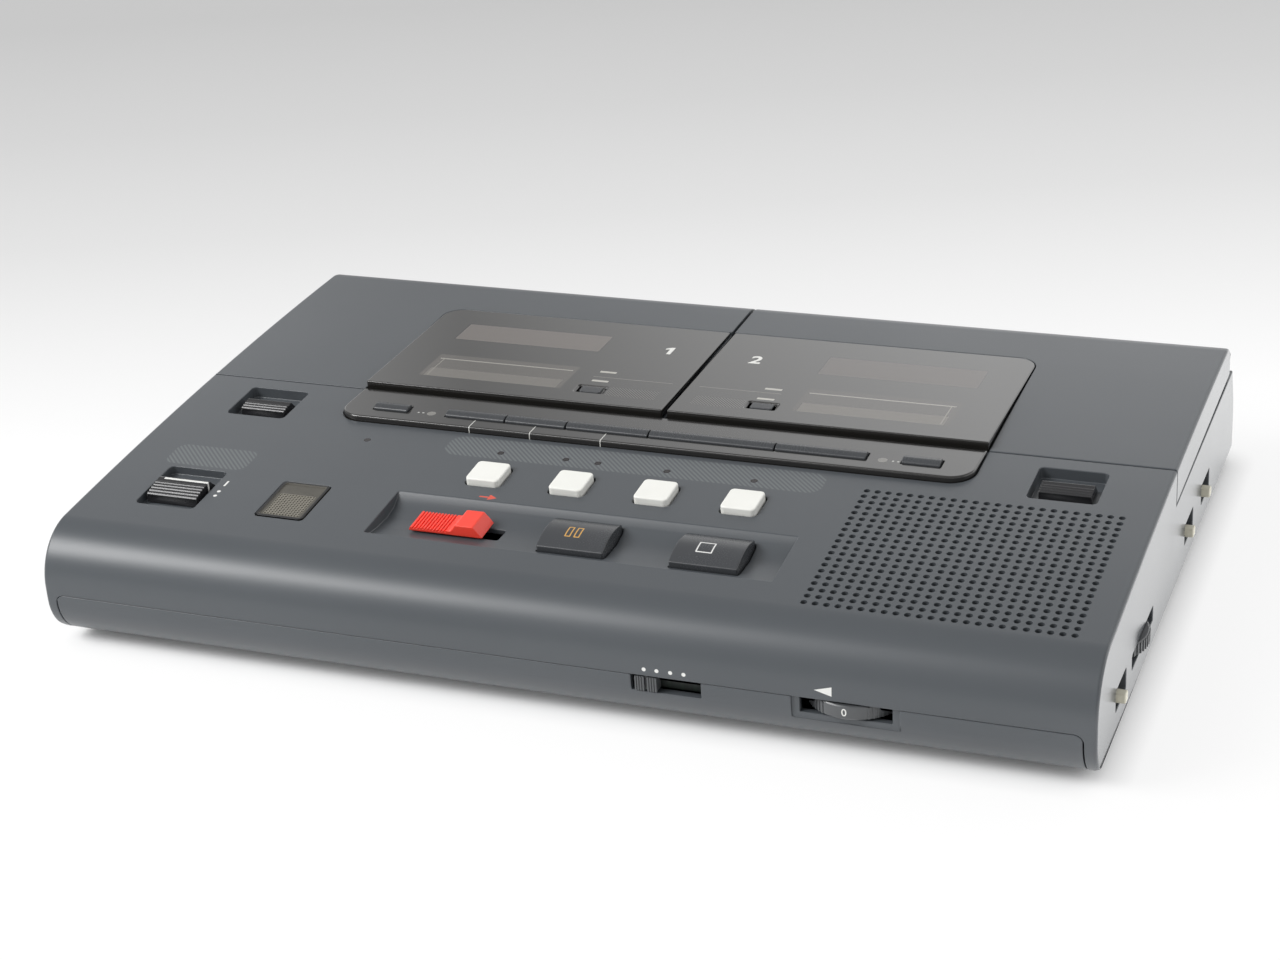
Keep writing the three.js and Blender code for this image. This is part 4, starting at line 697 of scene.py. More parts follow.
def tinted_panel():
    made = Finish("tinted_panel", specular_ior_level=0.55, coat_weight=0.6, coat_roughness=0.05)
    made.colour = (34, 33, 31)
    made.roughness = 0.09 + made.noise(30.0, 4.0) * 0.06
    x, y = made.x, made.y
    # Window tints per deck: the tint is the see-through window, and the left deck's windows are painted lighter than
    # the right deck's, painted light for how light falls on each lid
    for side, rear, rear_window_tint_and_light, front_window_tint_and_light, label_ys in (
            (-1, (38.9, 51.2), (92, 85, 80), (70, 66, 61), (24.4, 17.6)),
            (1, (37.4, 50.4), (75, 69, 65), (56, 52, 48), (23.4, 16.1))):
        def across(near, far, low, high, corner):
            return patch(x, y, *sorted((side * near, side * far)), low, high, corner)
        made.paint(across(35.2, 83.2, *rear, 0.4), rear_window_tint_and_light, 0.3)
        low, high = sorted((side * 34.7, side * 83.7))
        made.paint(frame_mask(x, y, low, high, rear[0] - 0.5, rear[1] + 0.5, 0.5, 0.6), (12, 12, 12))
        made.paint(across(35.9, 82.0, 9.9, 26.3, 0.4), front_window_tint_and_light, 0.22)
        made.paint(across(37.4, 80.5, 9.9, 16.0, 0.1), (96, 92, 86), 0.35)
        made.paint(across(37.1, 80.8, 22.9, 23.5, 0.05), (146, 143, 136), 0.3)
        made.paint(across(79.35, 79.65, 10.5, 22.9, 0.05), (128, 124, 116), 0.3)
        for at_y in label_ys:
            made.paint(across(23.5, 28.7, at_y - 0.6, at_y + 0.6, 0.1), (176, 174, 166), 0.35)
        made.paint(across(4.2, 29.4, 20.4, 20.65, 0.05), (120, 118, 112), 0.4)
        made.paint(across(5.5, 21.2, 7.9, 14.2, 0.5) * hatching(made, 0.7) * 0.6, (74, 72, 68), 0.4)
    made.raise_by(made.noise(0.4, 2.0) * 0.0006)
    return made.done()


def key_strip_gloss():
    made = Finish("key_strip_gloss", coat_weight=0.5, coat_roughness=0.06)
    made.colour = (36, 35, 34)
    made.roughness = 0.1 + made.noise(18.0, 4.0) * 0.08
    x, y = made.x, made.y
    lamps = total(dot(x, y, at_x, -12.8, 1.35) for at_x in (-67.3, 69.4))
    made.paint(lamps.clamped(), (118, 116, 112), 0.35)
    spots = total(dot(x, y, at_x, -12.9, 0.32) for at_x in (-71.4, -69.9, 72.4, 73.9))
    made.paint(spots, (190, 190, 186), 0.4)
    ticks = total(patch(x, y, at_x - 0.14, at_x + 0.14, -19.3, -14.3, 0.05) for at_x in (-52.5, -33.5, -11.7))
    made.paint(ticks, (205, 205, 200), 0.4)
    made.raise_by(made.noise(0.35, 2.0) * 0.0008)
    return made.done()


def plain(name, colour, second, roughness, grain, depth, slot=None):
    made = Finish(name, slot)
    made.colour = made.mixed(made.noise(9.0, 3.0), colour, second)
    made.roughness = roughness
    made.grain(grain, depth, 0.06)
    made.wear(0.08, 14.0)
    return made


def key_plastic():
    made = plain("key_plastic", (59, 61, 64), (66, 68, 71), 0.27, 0.35, 0.002)
    x, y = made.x, made.y
    pause, stop = BIG_KEY_XS
    bars = total(frame_mask(x, y, at_x - 0.85, at_x + 0.85, -68.9, -64.5, 0.34, 0.2)
                 for at_x in (pause - 2.1, pause + 0.5))
    made.paint(bars, (206, 158, 84), 0.4)
    made.paint(frame_mask(x, y, stop - 3.4, stop + 1.2, -68.9, -64.4, 0.36, 0.2), (226, 226, 224), 0.4)
    return made.done()


def slider_black():
    made = plain("slider_black", (34, 34, 36), (41, 41, 43), 0.24, 0.3, 0.002)
    crest = patch(made.x, made.y, POWER_X - 6.0, POWER_X + 9.0, POWER_Y + 0.9, POWER_Y + 1.7, 0.05)
    made.paint(crest, (225, 225, 222), 0.35)
    return made.done()


def bronze_mesh():
    made = Finish("bronze_mesh", metallic=0.2)
    made.colour = made.mixed(made.noise(2.4, 3.0), (76, 74, 68), (90, 87, 79))
    made.roughness = 0.4
    made.grain(0.2, 0.003, 0.08)
    x = made.x - MIC_X
    y = made.y - MIC_Y
    half_w, half_d = (size / 2 for size in MIC_SIZE)
    made.paint(frame_mask(x, y, -half_w, half_w, -half_d, half_d, 0.75, 1.2), (20, 20, 21), 0.3)
    made.paint(patch(x, y, *MIC_FIELD, 0.2), (128, 124, 114), 0.45)
    return made.done()


def metal(name, colour, second, roughness, stretch):
    made = Finish(name, metallic=1.0)
    brushed = made.noise(0.5, 3.0, stretch)
    made.colour = made.mixed(brushed, colour, second)
    made.roughness = roughness + (brushed - 0.5) * 0.14
    made.raise_by(brushed * 0.002)
    return made.done()


def board():
    made = Finish("board")
    tracks = patch(made.x.wave(7.0) * 7.0, made.y.wave(5.0) * 5.0, 2.6, 4.4, -1.0, 9.0, 0.2, 0.3)
    made.colour = made.mixed(made.noise(3.0, 4.0), (14, 22, 18), (20, 30, 25))
    made.roughness = 0.5
    made.paint(tracks * 0.5, (30, 44, 34), 0.4)
    made.grain(0.4, 0.006, 0.08)
    return made.done()


CASE = case_plastic()
PANEL = tinted_panel()
STRIP = key_strip_gloss()
KEY = key_plastic()
WHITE = plain("white_button", (232, 232, 226), (240, 240, 235), 0.42, 0.3, 0.003).done()
RED = plain("record_red", (242, 62, 46), (248, 72, 54), 0.32, 0.3, 0.003).done()
BLACK = slider_black()
WHEEL = plain("wheel_grey", (74, 76, 78), (84, 86, 88), 0.3, 0.3, 0.002, "slider_black").done()
CREAM = plain("cream_knob", (226, 221, 200), (234, 230, 212), 0.42, 0.3, 0.003).done()
INNER = plain("inner_plastic", (34, 35, 37), (42, 43, 45), 0.5, 0.4, 0.008).done()
MESH = bronze_mesh()
GLASS = plain("counter_glass", (56, 55, 50), (64, 62, 58), 0.15, 0.4, 0.001).done()
HUB = plain("spindle_white", (216, 216, 210), (226, 226, 222), 0.4, 0.4, 0.003).done()
STEEL = metal("pressed_steel", (176, 178, 182), (150, 152, 156), 0.34, (0.06, 1.0, 1.0))
BRASS = metal("turned_brass", (196, 172, 108), (170, 146, 86), 0.3, (1.0, 1.0, 0.2))
RUBBER = plain("rubber", (24, 24, 24), (32, 31, 30), 0.75, 0.35, 0.012).done()
BOARD = board()
PRINT = plain("printed_white", (224, 224, 220), (232, 232, 228), 0.45, 0.3, 0.001, "tinted_panel").done()


# Case
def case_outline(inset):
    rear_foot = REAR_Y - REAR_FOOT
    lean = math.degrees(math.atan2(REAR_Y - REAR_TOP_Y, rim_at(REAR_TOP_Y) - FOOT_HEIGHT - REAR_FOOT))
    radius = ARCH_RADIUS - inset
    start = math.degrees(math.acos((STEP_Y - inset - SUMMIT_Y) / radius))
    points = arc(rear_foot, FOOT_HEIGHT + REAR_FOOT, REAR_FOOT - inset, -90, lean, 8)
    points += [(REAR_TOP_Y - inset, rim_at(REAR_TOP_Y) - inset), (STEP_Y - inset, rim_at(STEP_Y) - inset)]
    points += arc(SUMMIT_Y, ARCH_Z, radius, start, NOSE_ANGLE, 10)
    points += arc(NOSE_Y, NOSE_Z, NOSE_RADIUS - inset, NOSE_ANGLE, 180, 22)[1:]
    points += arc(TIP_Y + NOSE_FOOT, FOOT_HEIGHT + NOSE_FOOT, NOSE_FOOT - inset, 180, 270, 12)
    return points


def plan_envelope(back):
    corner = back - REAR_CORNER
    points = [(-HALF, TIP_Y - OVER), (HALF, TIP_Y - OVER)]
    points += arc(HALF - REAR_CORNER, corner, REAR_CORNER, 0, 90, 8)
    points += arc(REAR_CORNER - HALF, corner, REAR_CORNER, 90, 180, 8)
    return prism("Z", points, 0, CASE_HEIGHT + 2 * OVER)


def case_section():
    low = FOOT_HEIGHT + BOTTOM_EDGE
    high = CASE_HEIGHT + OVER
    points = arc(HALF - BOTTOM_EDGE, low, BOTTOM_EDGE, -90, 0, 5) + [(HALF, high), (-HALF, high)]
    points += arc(BOTTOM_EDGE - HALF, low, BOTTOM_EDGE, 180, 270, 5)
    return prism("Y", points, TIP_Y - OVER, REAR_Y + OVER)


def lower_space(gap):
    top = PARTING - gap
    shape = rounded(2 * (INNER_HALF - gap), 2 * top, PARTING_CORNER, steps=6)
    front = prism("Y", shape, TIP_Y - OVER, NOSE_Y)
    floor = block(gap - INNER_HALF, INNER_HALF - gap, NOSE_Y - OVER, REAR_Y - REAR_FOOT - gap, -OVER,
                  FOOT_HEIGHT + WALL + gap)
    return solid(front, joins=[floor])


def recess(width, depth, corner, sink, x, y):
    return on_slope(rounded(width, depth, corner), -sink, OVER, x, y)


def pocket(width, depth, corner, sink, x, y):
    shape = rounded(width + 2 * TRAY_FLOOR, depth + 2 * TRAY_FLOOR, corner + TRAY_FLOOR)
    return on_slope(shape, -sink - TRAY_FLOOR, -WALL / 2, x, y)


def tray_prism(drop):
    reach = -WALL / 2 if drop else OVER
    middle = -(TRAY_FRONT_SINK + 2 * TRAY_SINK) / 3
    points = [(drop, reach), (-TRAY_DEPTH - drop, reach), (-TRAY_DEPTH - drop, -TRAY_FRONT_SINK - drop),
              (-(TRAY_DEPTH + 9.0) / 2, middle - drop), (-9.0, -TRAY_SINK - drop),
              (-4.5, -TRAY_SINK * 0.8 - drop), (-1.8, -TRAY_SINK * 0.45 - drop), (drop, -drop)]
    half = TRAY_WIDTH / 2 + drop
    return on_top(prism("X", points, -half, half), TRAY_X, TRAY_REAR)


def slider_slot(back, forth, x, y, sink):
    shape = rounded(4.6, 3.0 + back + forth + 2 * GAP, GAP, 0, (forth - back) / 2, 2)
    return on_slope(shape, -2 * sink - TRAY_FLOOR - 2, OVER, x, y)


def key_slot(low, high):
    return block(low, high, KEY_Y - KEY_SLOT, KEY_Y + KEY_SLOT, top_at(KEY_Y) - 2 * WALL, CASE_HEIGHT)


def bar_plan(grow):
    x = BAR_HALF + grow
    corner = BAR_CORNER + grow
    front = BAR_FRONT - grow
    return ([(x, STEP_Y + OVER), (-x, STEP_Y + OVER)] + arc(corner - x, front + corner, corner, 180, 270, 12)
            + arc(x - corner, front + corner, corner, 270, 360, 12))


def bar_prism(sink, grow, rise):
    front = BAR_FRONT - OVER
    rear = STEP_Y + OVER if rise else BAR_REAR
    top_front = top_at(BAR_FRONT) + BAR_PROUD_FRONT
    top_rear = top_at(BAR_REAR) + BAR_PROUD_REAR
    points = [(front, top_at(front) - sink), (rear, top_at(rear) - sink), (rear, top_rear + rise)]
    points.append((front, top_front + rise) if rise else (front, top_front - 0.3))
    slab = prism("X", points, -HALF, HALF)
    return solid(slab, keeps=[prism("Z", bar_plan(grow), RIM_FRONT, CASE_HEIGHT + 2 * OVER)])


def key_xs():
    x = KEY_START
    places = []
    for width in KEY_WIDTHS:
        places.append((x + width / 2, width))
        x += width + KEY_GAP
    return places


def hinge_ear(x):
    rim = rim_at(HINGE_Y) - WALL / 2
    points = arc(HINGE_Y, HINGE_Z, EAR_RADIUS, 0, 180, 12)
    points += [(HINGE_Y - EAR_RADIUS, rim), (HINGE_Y + EAR_RADIUS, rim)]
    tab = prism("X", points, x - EAR_THICKNESS / 2, x + EAR_THICKNESS / 2)
    hole = prism("X", circle(PIN_RADIUS + 0.05, 24, HINGE_Y, HINGE_Z), x - EAR_THICKNESS, x + EAR_THICKNESS)
    return solid(tab, cuts=[hole])


def side_openings():
    right = [rounded(*SWITCH_SLOT, 0.6, y, SIDE_Z, 3) for y in SWITCH_YS]
    right.append(rounded(*SIDE_WHEEL_SLOT, 0.6, SIDE_WHEEL[1], SIDE_Z, 3))
    left = [circle(JACK_HOLE, 32, y, JACK_Z) for y in JACK_YS]
    left.append(rounded(*INLET_HOLE, 0.6, *INLET, 3))
    return ([prism("X", shape, INNER_HALF - OVER, HALF + OVER) for shape in right]
            + [prism("X", shape, -HALF - OVER, OVER - INNER_HALF) for shape in left])


def on_outline(points, y, z, reach=0.06):
    at = Vector((y, z))
    for start, end in zip(points, points[1:] + points[:1]):
        first = Vector(start)
        run = Vector(end) - first
        share = min(max((at - first).dot(run) / run.length_squared, 0.0), 1.0) if run.length_squared else 0.0
        if (first + run * share - at).length < reach:
            return True
    return False


def case_edge_rule():
    outline = case_outline(0)

    def rule(co):
        rim = STEP_Y - 0.1 < co.y < REAR_TOP_Y - 0.5 and co.z < rim_at(co.y) + 0.3
        step = abs(co.y - STEP_Y) < 0.1
        outer = abs(co.x) > INNER_HALF + 0.2 or (co.y > REAR_Y - 12.0 and abs(co.x) > HALF - REAR_CORNER - 0.5)
        wide = outer and not rim and not step and on_outline(outline, co.y, co.z)
        heel = co.y > REAR_Y - REAR_FOOT - 1.0 and co.z < FOOT_HEIGHT + REAR_FOOT
        return 0.0 if wide and heel else 1.0 if wide else FINE_EDGE / SIDE_EDGE
    return rule


def case_top():
    hollow = prism("X", case_outline(WALL), -INNER_HALF, INNER_HALF)
    shell = solid(prism("X", case_outline(0), -HALF, HALF), keeps=[case_section(), plan_envelope(REAR_Y)],
                  cuts=[hollow, lower_space(0)])
    power = (*POWER_SIZE[:2], 1.5, POWER_SIZE[2], POWER_X, POWER_Y)
    joins = [tray_prism(TRAY_FLOOR), pocket(*power), pocket(*MIC_SIZE, 1.0, 0.9, MIC_X, MIC_Y)]
    cuts = [tray_prism(0), recess(*power), slider_slot(2.3, 3.0, POWER_X, POWER_Y, 2.6), bar_prism(0.8, GAP, OVER),
            recess(MIC_SIZE[0] + 2 * GAP, MIC_SIZE[1] + 2 * GAP, 1.2, 0.9, MIC_X, MIC_Y),
            key_slot(KEY_START, KEY_START + KEY_ROW)]
    for x in BIG_KEY_XS:
        shape = rounded(BIG_KEY[0] + 2 * GAP, BIG_KEY[1] + 2 * GAP, 0.6)
        cuts.append(on_slope(shape, -7.0, OVER, x, BIG_KEY_Y))
    cuts.append(on_slope(rounded(22.0 + 3.8, 6.0, 0.6, 1.9, 0), -7.6, OVER, RECORD_X, RECORD_Y))
    for x in BUTTON_XS:
        cuts.append(recess(11.0, 11.4, 1.7, 5.0, x, BUTTON_Y))
    for side in (-1, 1):
        eject = (*EJECT_SIZE[:2], 1.5, EJECT_SIZE[2], side * EJECT_X, EJECT_Y)
        joins.append(pocket(*eject))
        cuts.append(recess(*eject))
        cuts.append(slider_slot(0, 3.6, side * EJECT_X, EJECT_Y, 3.4))
        x = side * DECK_KEY_X
        cuts.append(key_slot(x - DECK_KEY_HALF, x + DECK_KEY_HALF))
        low, high = sorted(side * end for end in WELL_SPAN)
        cuts.append(block(low, high, STEP_Y + 2.1, HINGE_Y - 6.1, RIM_FRONT - WALL - OVER,
                          RIM_FRONT + RIM_RISE + OVER))
    joins += [hinge_ear(side * x) for side in (-1, 1) for x in EARS]
    body = solid(shell, joins=joins, cuts=cuts + side_openings())
    reach_x = HOLE_COLUMNS * HOLE_PITCH / 2
    reach_y = HOLE_ROWS * HOLE_PITCH / 2 * math.cos(slope_at(GRILLE_Y))
    opening = block(GRILLE_X - reach_x, GRILLE_X + reach_x, GRILLE_Y - reach_y, GRILLE_Y + reach_y, 28, 50)
    final = solid(opened(softened(body, SIDE_EDGE, case_edge_rule())), cuts=[opening])
    flattened(final)
    smooth(final)
    draft = temporary(final)
    draft.data.set_sharp_from_angle(angle=math.radians(33))
    piece("case_top", with_weighted_normals(draft), "case", CASE, "upper_cabinet")


def upright(radius, steps, x, y, low, high):
    return prism("Z", circle(radius, steps, x, y), low, high)


def case_bottom():
    shell = solid(prism("X", case_outline(0), -LOWER_HALF, LOWER_HALF),
                  keeps=[case_section(), plan_envelope(REAR_Y), lower_space(GAP / 5)],
                  cuts=[prism("X", case_outline(WALL), -HALF, HALF)])
    joins = []
    cuts = []
    for x in SCREW_XS:
        for y in SCREW_YS:
            joins.append(upright(4.6, 24, x, y, FOOT_HEIGHT + WALL / 2, FOOT_HEIGHT + 5.6))
            cuts.append(upright(3.0, 32, x, y, -OVER, FOOT_HEIGHT + 4.0))
    for x in FOOT_XS:
        for y in FOOT_YS:
            joins.append(upright(9.0, 24, x, y, FOOT_HEIGHT + WALL / 2, FOOT_HEIGHT + WALL + 1.0))
            cuts.append(upright(6.8, 40, x, y, -OVER, FOOT_HEIGHT + 1.3))
    low = VOLUME_Z - 1.9 - 0.4
    for middle, half, rear, base in ((VOLUME_X, 12, NOSE_Y, low), (VOLUME_X, 14, TIP_Y + 0.8, low - 1.6),
                                     (MONITOR_X, 9.5, NOSE_Y, PARTING - 4.6)):
        cuts.append(block(middle - half, middle + half, TIP_Y - OVER, rear, base, PARTING + OVER))
    mesh = softened(solid(shell, joins=joins, cuts=cuts), FINE_EDGE)
    piece("case_bottom", mesh, "case", CASE, "lower_cabinet")


def feet():
    profile = [(0, 0), (5.9, 0), (6.3, 0.25), (6.5, 0.8), (6.5, 3.0), (0, 3.0)]
    for row, y in zip(("front", "rear"), FOOT_YS):
        for hand, x in zip(("left", "right"), FOOT_XS):
            pad = moved(turned(profile, 40), x, y)
            ring = solid(pad, cuts=[upright(3.2, 32, x, y, -OVER, 0.35)])
            piece(f"pad_{row}_{hand}", softened(ring, 0.12, limit=50), "case", RUBBER, f"foot_{row}_{hand}")


def screws(grid):
    head = solid(turned([(0, 3.2), (2.2, 3.2), (2.45, 3.5), (2.5, 4.4), (2.5, 5.9), (0, 5.9)], 20),
                 cuts=[block(-1.5, 1.5, -0.35, 0.35, 2.6, 4.3), block(-0.35, 0.35, -1.5, 1.5, 2.6, 4.3)])
    mesh = repeated(head, grid, STEEL, columns=len(SCREW_XS), rows=len(SCREW_YS), step_across=SCREW_XS[2],
                    step_along=SCREW_YS[1] - SCREW_YS[0], centre_x=0.0, centre_y=sum(SCREW_YS) / 2)
    mesh.shade_flat()
    piece("case_screws", mesh, "case", STEEL)


# Speaker grille and microphone
def speaker_area(arched):
    tile = hole_tile(HOLE_PITCH, 0.92, 1.3)
    for vert in tile.verts:
        vert.co.y *= math.cos(slope_at(GRILLE_Y))
    mesh = repeated(tile, arched, CASE, columns=HOLE_COLUMNS, rows=HOLE_ROWS, step_across=HOLE_PITCH,
                    step_along=HOLE_PITCH * math.cos(slope_at(GRILLE_Y)), centre_x=GRILLE_X, centre_y=GRILLE_Y)
    piece("speaker_perforation", closed_rim(mesh), "case", CASE, "speaker_grille")


def microphone(arched):
    width, depth = MIC_SIZE
    rim = prism("Z", rounded(width, depth, 1.2), -0.6, 0.14)
    face_cut = prism("Z", rounded(width - 1.6, depth - 1.6, 0.9), -0.14, OVER)
    frame_part = solid(rim, cuts=[face_cut, block(*MIC_FIELD, -OVER, OVER)])
    mesh = softened(on_top(frame_part, MIC_X, MIC_Y), 0.12)
    piece("microphone_frame", mesh, "case", MESH, "mic_plate")
    tile = hole_tile(MIC_PITCH, 0.31, 0.4, 8)
    middle = MIC_Y + (MIC_FIELD[2] + MIC_FIELD[3]) / 2
    screen = closed_rim(repeated(tile, arched, MESH, columns=12, rows=12, step_across=MIC_PITCH,
                                 step_along=MIC_PITCH, centre_x=MIC_X, centre_y=middle))
    screen.transform(Matrix.Translation((0, 0, -0.2)))
    piece("microphone_screen", screen, "case", MESH)


def loudspeaker():
    profile = [(0, -20.0), (15.0, -20.0), (15.0, -13.4), (9.0, -13.4), (28.5, -6.2), (31.5, -5.6), (31.5, -4.2),
               (29.6, -4.2), (28.6, -4.9), (27.6, -4.4), (26.8, -4.9), (9.0, -11.6), (6.0, -10.4), (0, -9.6)]
    bm = on_top(turned(profile, 56), GRILLE_X, GRILLE_Y)
    piece("loudspeaker", softened(bm, 0.2, limit=50), "case", INNER, "speaker")


# Lids
def lid_outline():
    bend = -math.degrees(math.asin((HINGE_Z - skirt_at(HINGE_Y)) / HINGE_INSET))
    points = [(LID_FRONT, skirt_at(LID_FRONT))]
    points += arc(HINGE_Y, HINGE_Z, HINGE_INSET, bend, HINGE_BEND, 10)
    y = LID_REAR - LID_ROUND
    points += arc(y, top_at(y) - LID_ROUND, LID_ROUND, HINGE_BEND, 90, 14)[1:-1]
    front = LID_FRONT
    return points + along_top(y, LID_FRONT, 8)


def skirt_at(y):
    share = (y - LID_FRONT) / (LID_REAR - LID_FRONT)
    return rim_at(y) + 0.6 + 1.1 * share


def lid_hollow():
    front = LID_FRONT + LID_WALL
    y = LID_REAR - LID_ROUND
    points = [(front, RIM_FRONT - OVER), (HINGE_Y + HINGE_INSET - LID_WALL, RIM_FRONT - OVER)]
    points += arc(y, top_at(y) - LID_ROUND, LID_ROUND - LID_WALL, HINGE_BEND, 80, 8)
    return points + along_top(y, front, 4, LID_SKIN)


def hinge_rib():
    y = LID_REAR - LID_ROUND
    reach = LID_ROUND - LID_WALL / 2
    end = math.degrees(math.acos((HINGE_Y - 4.0 - y) / reach))
    return arc(HINGE_Y, HINGE_Z, EAR_RADIUS, -180, -20, 8) + arc(y, top_at(y) - LID_ROUND, reach, HINGE_BEND, end, 8)


def ear_room():
    reach = EAR_RADIUS + GAP
    far = 3 * HINGE_INSET
    swing = math.radians(LID_SWING)
    tip = (HINGE_Y + reach * math.cos(swing), HINGE_Z + reach * math.sin(swing))
    side = tip[0] + far * math.sin(swing)
    points = [(HINGE_Y - reach, HINGE_Z), (HINGE_Y - reach, HINGE_Z - far), (side, HINGE_Z - far),
              (side, tip[1] - far * math.cos(swing))]
    return points + arc(HINGE_Y, HINGE_Z, reach, LID_SWING, 180, 12)[:-1]


def panel_plan(side, grow, front_reach):
    inner = side * (PANEL_IN - grow)
    outer = side * (PANEL_OUT + grow)
    corner = PANEL_CORNER + grow
    rear = PANEL_REAR + grow
    front = PANEL_FRONT - front_reach
    start = 0 if side > 0 else 180
    bend = arc(outer - side * corner, rear - corner, corner, start, 90, 12)
    return [(inner, front), (outer, front)] + bend + [(inner, rear)]


def panel_seat(side):
    front = LID_FRONT - OVER
    rear = PANEL_REAR + 2 * GAP
    high = CASE_HEIGHT + OVER
    slab = along_top(front, rear, 8, PANEL_SEAT) + [(rear, high), (front, high)]
    plan = prism("Z", panel_plan(side, GAP, OVER), RIM_FRONT, high)
    inner = prism("X", slab, *sorted((0.0, side * (PANEL_IN + GAP))))
    return solid(solid(prism("X", slab, -HALF, HALF), keeps=[plan]), joins=[inner])


def lid_openings(side):
    tools = [on_slope(rounded(width, depth, 0.3, steps=2), -2 * LID_SKIN, OVER, side * WINDOW_X, y)
             for width, depth, y in LID_WINDOWS]
    button = rounded(*COUNTER_HOLE, 0.3, steps=2)
    tools.append(on_slope(button, -2 * LID_SKIN, 2 * OVER, side * COUNTER_BUTTON[0], COUNTER_BUTTON[1]))
    return tools


def lid_edge_rule():
    outline = lid_outline()

    def rule(co):
        skirt = co.z < skirt_at(co.y) + 0.1 or (co.y > HINGE_Y and co.z < HINGE_Z)
        outer = abs(co.x) > HALF - REAR_CORNER - 0.5 and co.y > LID_FRONT + 0.1
        return 1.0 if outer and not skirt and on_outline(outline, co.y, co.z) else FINE_EDGE / SIDE_EDGE
    return rule


def lid(number, side):
    inner = LID_MID_GAP / 2
    span = sorted((side * inner, side * HALF))
    hollow = sorted((side * (inner + LID_WALL), side * (HALF - LID_WALL)))
    shell = solid(prism("X", lid_outline(), *span), keeps=[plan_envelope(LID_REAR)],
                  cuts=[prism("X", lid_hollow(), *hollow)])
    notches = []
    ribs = []
    for place in EARS:
        x = side * place
        away = -side if place > WINDOW_X else side
        face = x + away * (EAR_THICKNESS / 2 + GAP)
        ribs.append(prism("X", hinge_rib(), *sorted((face, face + away * 1.8))))
        pin = sorted((face + away * 0.9, x - away * EAR_THICKNESS / 2))
        ribs.append(prism("X", circle(PIN_RADIUS, 24, HINGE_Y, HINGE_Z), *pin))
        room = EAR_THICKNESS / 2 + GAP
        notches.append(prism("X", ear_room(), x - room, x + room))
    body = solid(solid(shell, cuts=notches), joins=ribs, cuts=[panel_seat(side)] + lid_openings(side))
    mesh = softened(body, SIDE_EDGE, lid_edge_rule())
    piece(f"lid_cover_{number}", mesh, f"lid_{number}", CASE, f"lid_shell_{number}")


def panel_edge():
    return [(PANEL_REAR, top_at(PANEL_REAR) + PANEL_LIP), (PANEL_FRONT, top_at(PANEL_FRONT) + PANEL_PROUD)]


def panel(number, side):
    low = [(y, z + GAP) for y, z in along_top(PANEL_FRONT, PANEL_REAR, 8, PANEL_SEAT)]
    slab = prism("X", low + panel_edge(), -HALF, HALF)
    plan = prism("Z", panel_plan(side, 0, 0), RIM_FRONT, CASE_HEIGHT + 2 * OVER)
    at = (side * COUNTER_BUTTON[0], COUNTER_BUTTON[1])
    well = on_slope(rounded(9.4, 5.0, 0.8), PANEL_PROUD / 2, 2 * OVER, *at)
    hole = on_slope(rounded(*COUNTER_HOLE, 0.5), -2 * LID_SKIN, 2 * OVER, *at)
    body = solid(slab, keeps=[plan], cuts=[well, hole])
    piece(f"tinted_panel_{number}", softened(body, 0.4), f"lid_{number}", PANEL, f"window_panel_{number}")


def counter_key(number, side):
    flange = prism("Z", rounded(7.8, 4.6, 0.4), -3.3, -2.7)
    cap = solid(prism("Z", rounded(6.6, 3.4, 0.6), -3.0, 1.7), joins=[flange])
    bm = on_top(cap, side * COUNTER_BUTTON[0], COUNTER_BUTTON[1])
    piece(f"counter_key_{number}", softened(bm, 0.3), f"counter_reset_{number}", KEY, f"counter_button_{number}")


def lettering(name, text, size, body, place, spread):
    curve = bpy.data.curves.new(name, "FONT")
    curve.body = text
    curve.size = size
    curve.align_x = "CENTER"
    curve.align_y = "CENTER"
    curve.extrude = PRINT_DEPTH / 2
    curve.offset = spread * size / 6
    mesh = evaluated(linked(name, curve))
    mesh.transform(place)
    piece(name, mesh_of(closed(opened(mesh))), body, PRINT)


def panel_numbers():
    (rear_y, rear), (front_y, front) = panel_edge()
    tilt = Matrix.Rotation(math.atan2(rear - front, rear_y - front_y), 4, "X")
    for number, x, y in ((1, -13.6, 44.3), (2, 14.1, 43.1)):
        height = rear + (front - rear) * (rear_y - y) / (rear_y - front_y)
        place = Matrix.Translation((x, y, height + 0.01)) @ tilt
        if number == 1:
            figure = [(-0.6, -2.6), (0.7, -2.6), (0.7, 2.5), (-0.3, 2.5), (-1.9, 1.5), (-1.9, 0.6), (-0.6, 1.1)]
            one = prism("Z", figure, 0.0, PRINT_DEPTH)
            one.transform(place)
            piece("panel_number_1", mesh_of(one), "lid_1", PRINT)
        else:
            lettering("panel_number_2", "2", 7.6, "lid_2", place, 0.14)


# Key strip
def key_strip():
    cuts = []
    y0 = KEY_Y - KEY_DEPTH / 2 - GAP
    y1 = KEY_Y + KEY_DEPTH / 2 + GAP
    for low, high in ((KEY_START, KEY_START + KEY_ROW), (-DECK_KEY_X - DECK_KEY_HALF, DECK_KEY_HALF - DECK_KEY_X),
                      (DECK_KEY_X - DECK_KEY_HALF, DECK_KEY_X + DECK_KEY_HALF)):
        cuts.append(block(low - GAP, high + GAP, y0, y1, RIM_FRONT, CASE_HEIGHT + OVER))
    body = solid(bar_prism(0.5, 0, 0), cuts=cuts)

    def rule(co):
        holes = abs(co.y - KEY_Y) < KEY_DEPTH and abs(co.x) < DECK_KEY_X + DECK_KEY_WIDTH
        return 1.0 if co.z > top_at(co.y) + 0.3 and not holes else 0.3
    piece("key_strip", softened(body, 0.6, rule, segments=4), "case", STRIP, "key_bar")


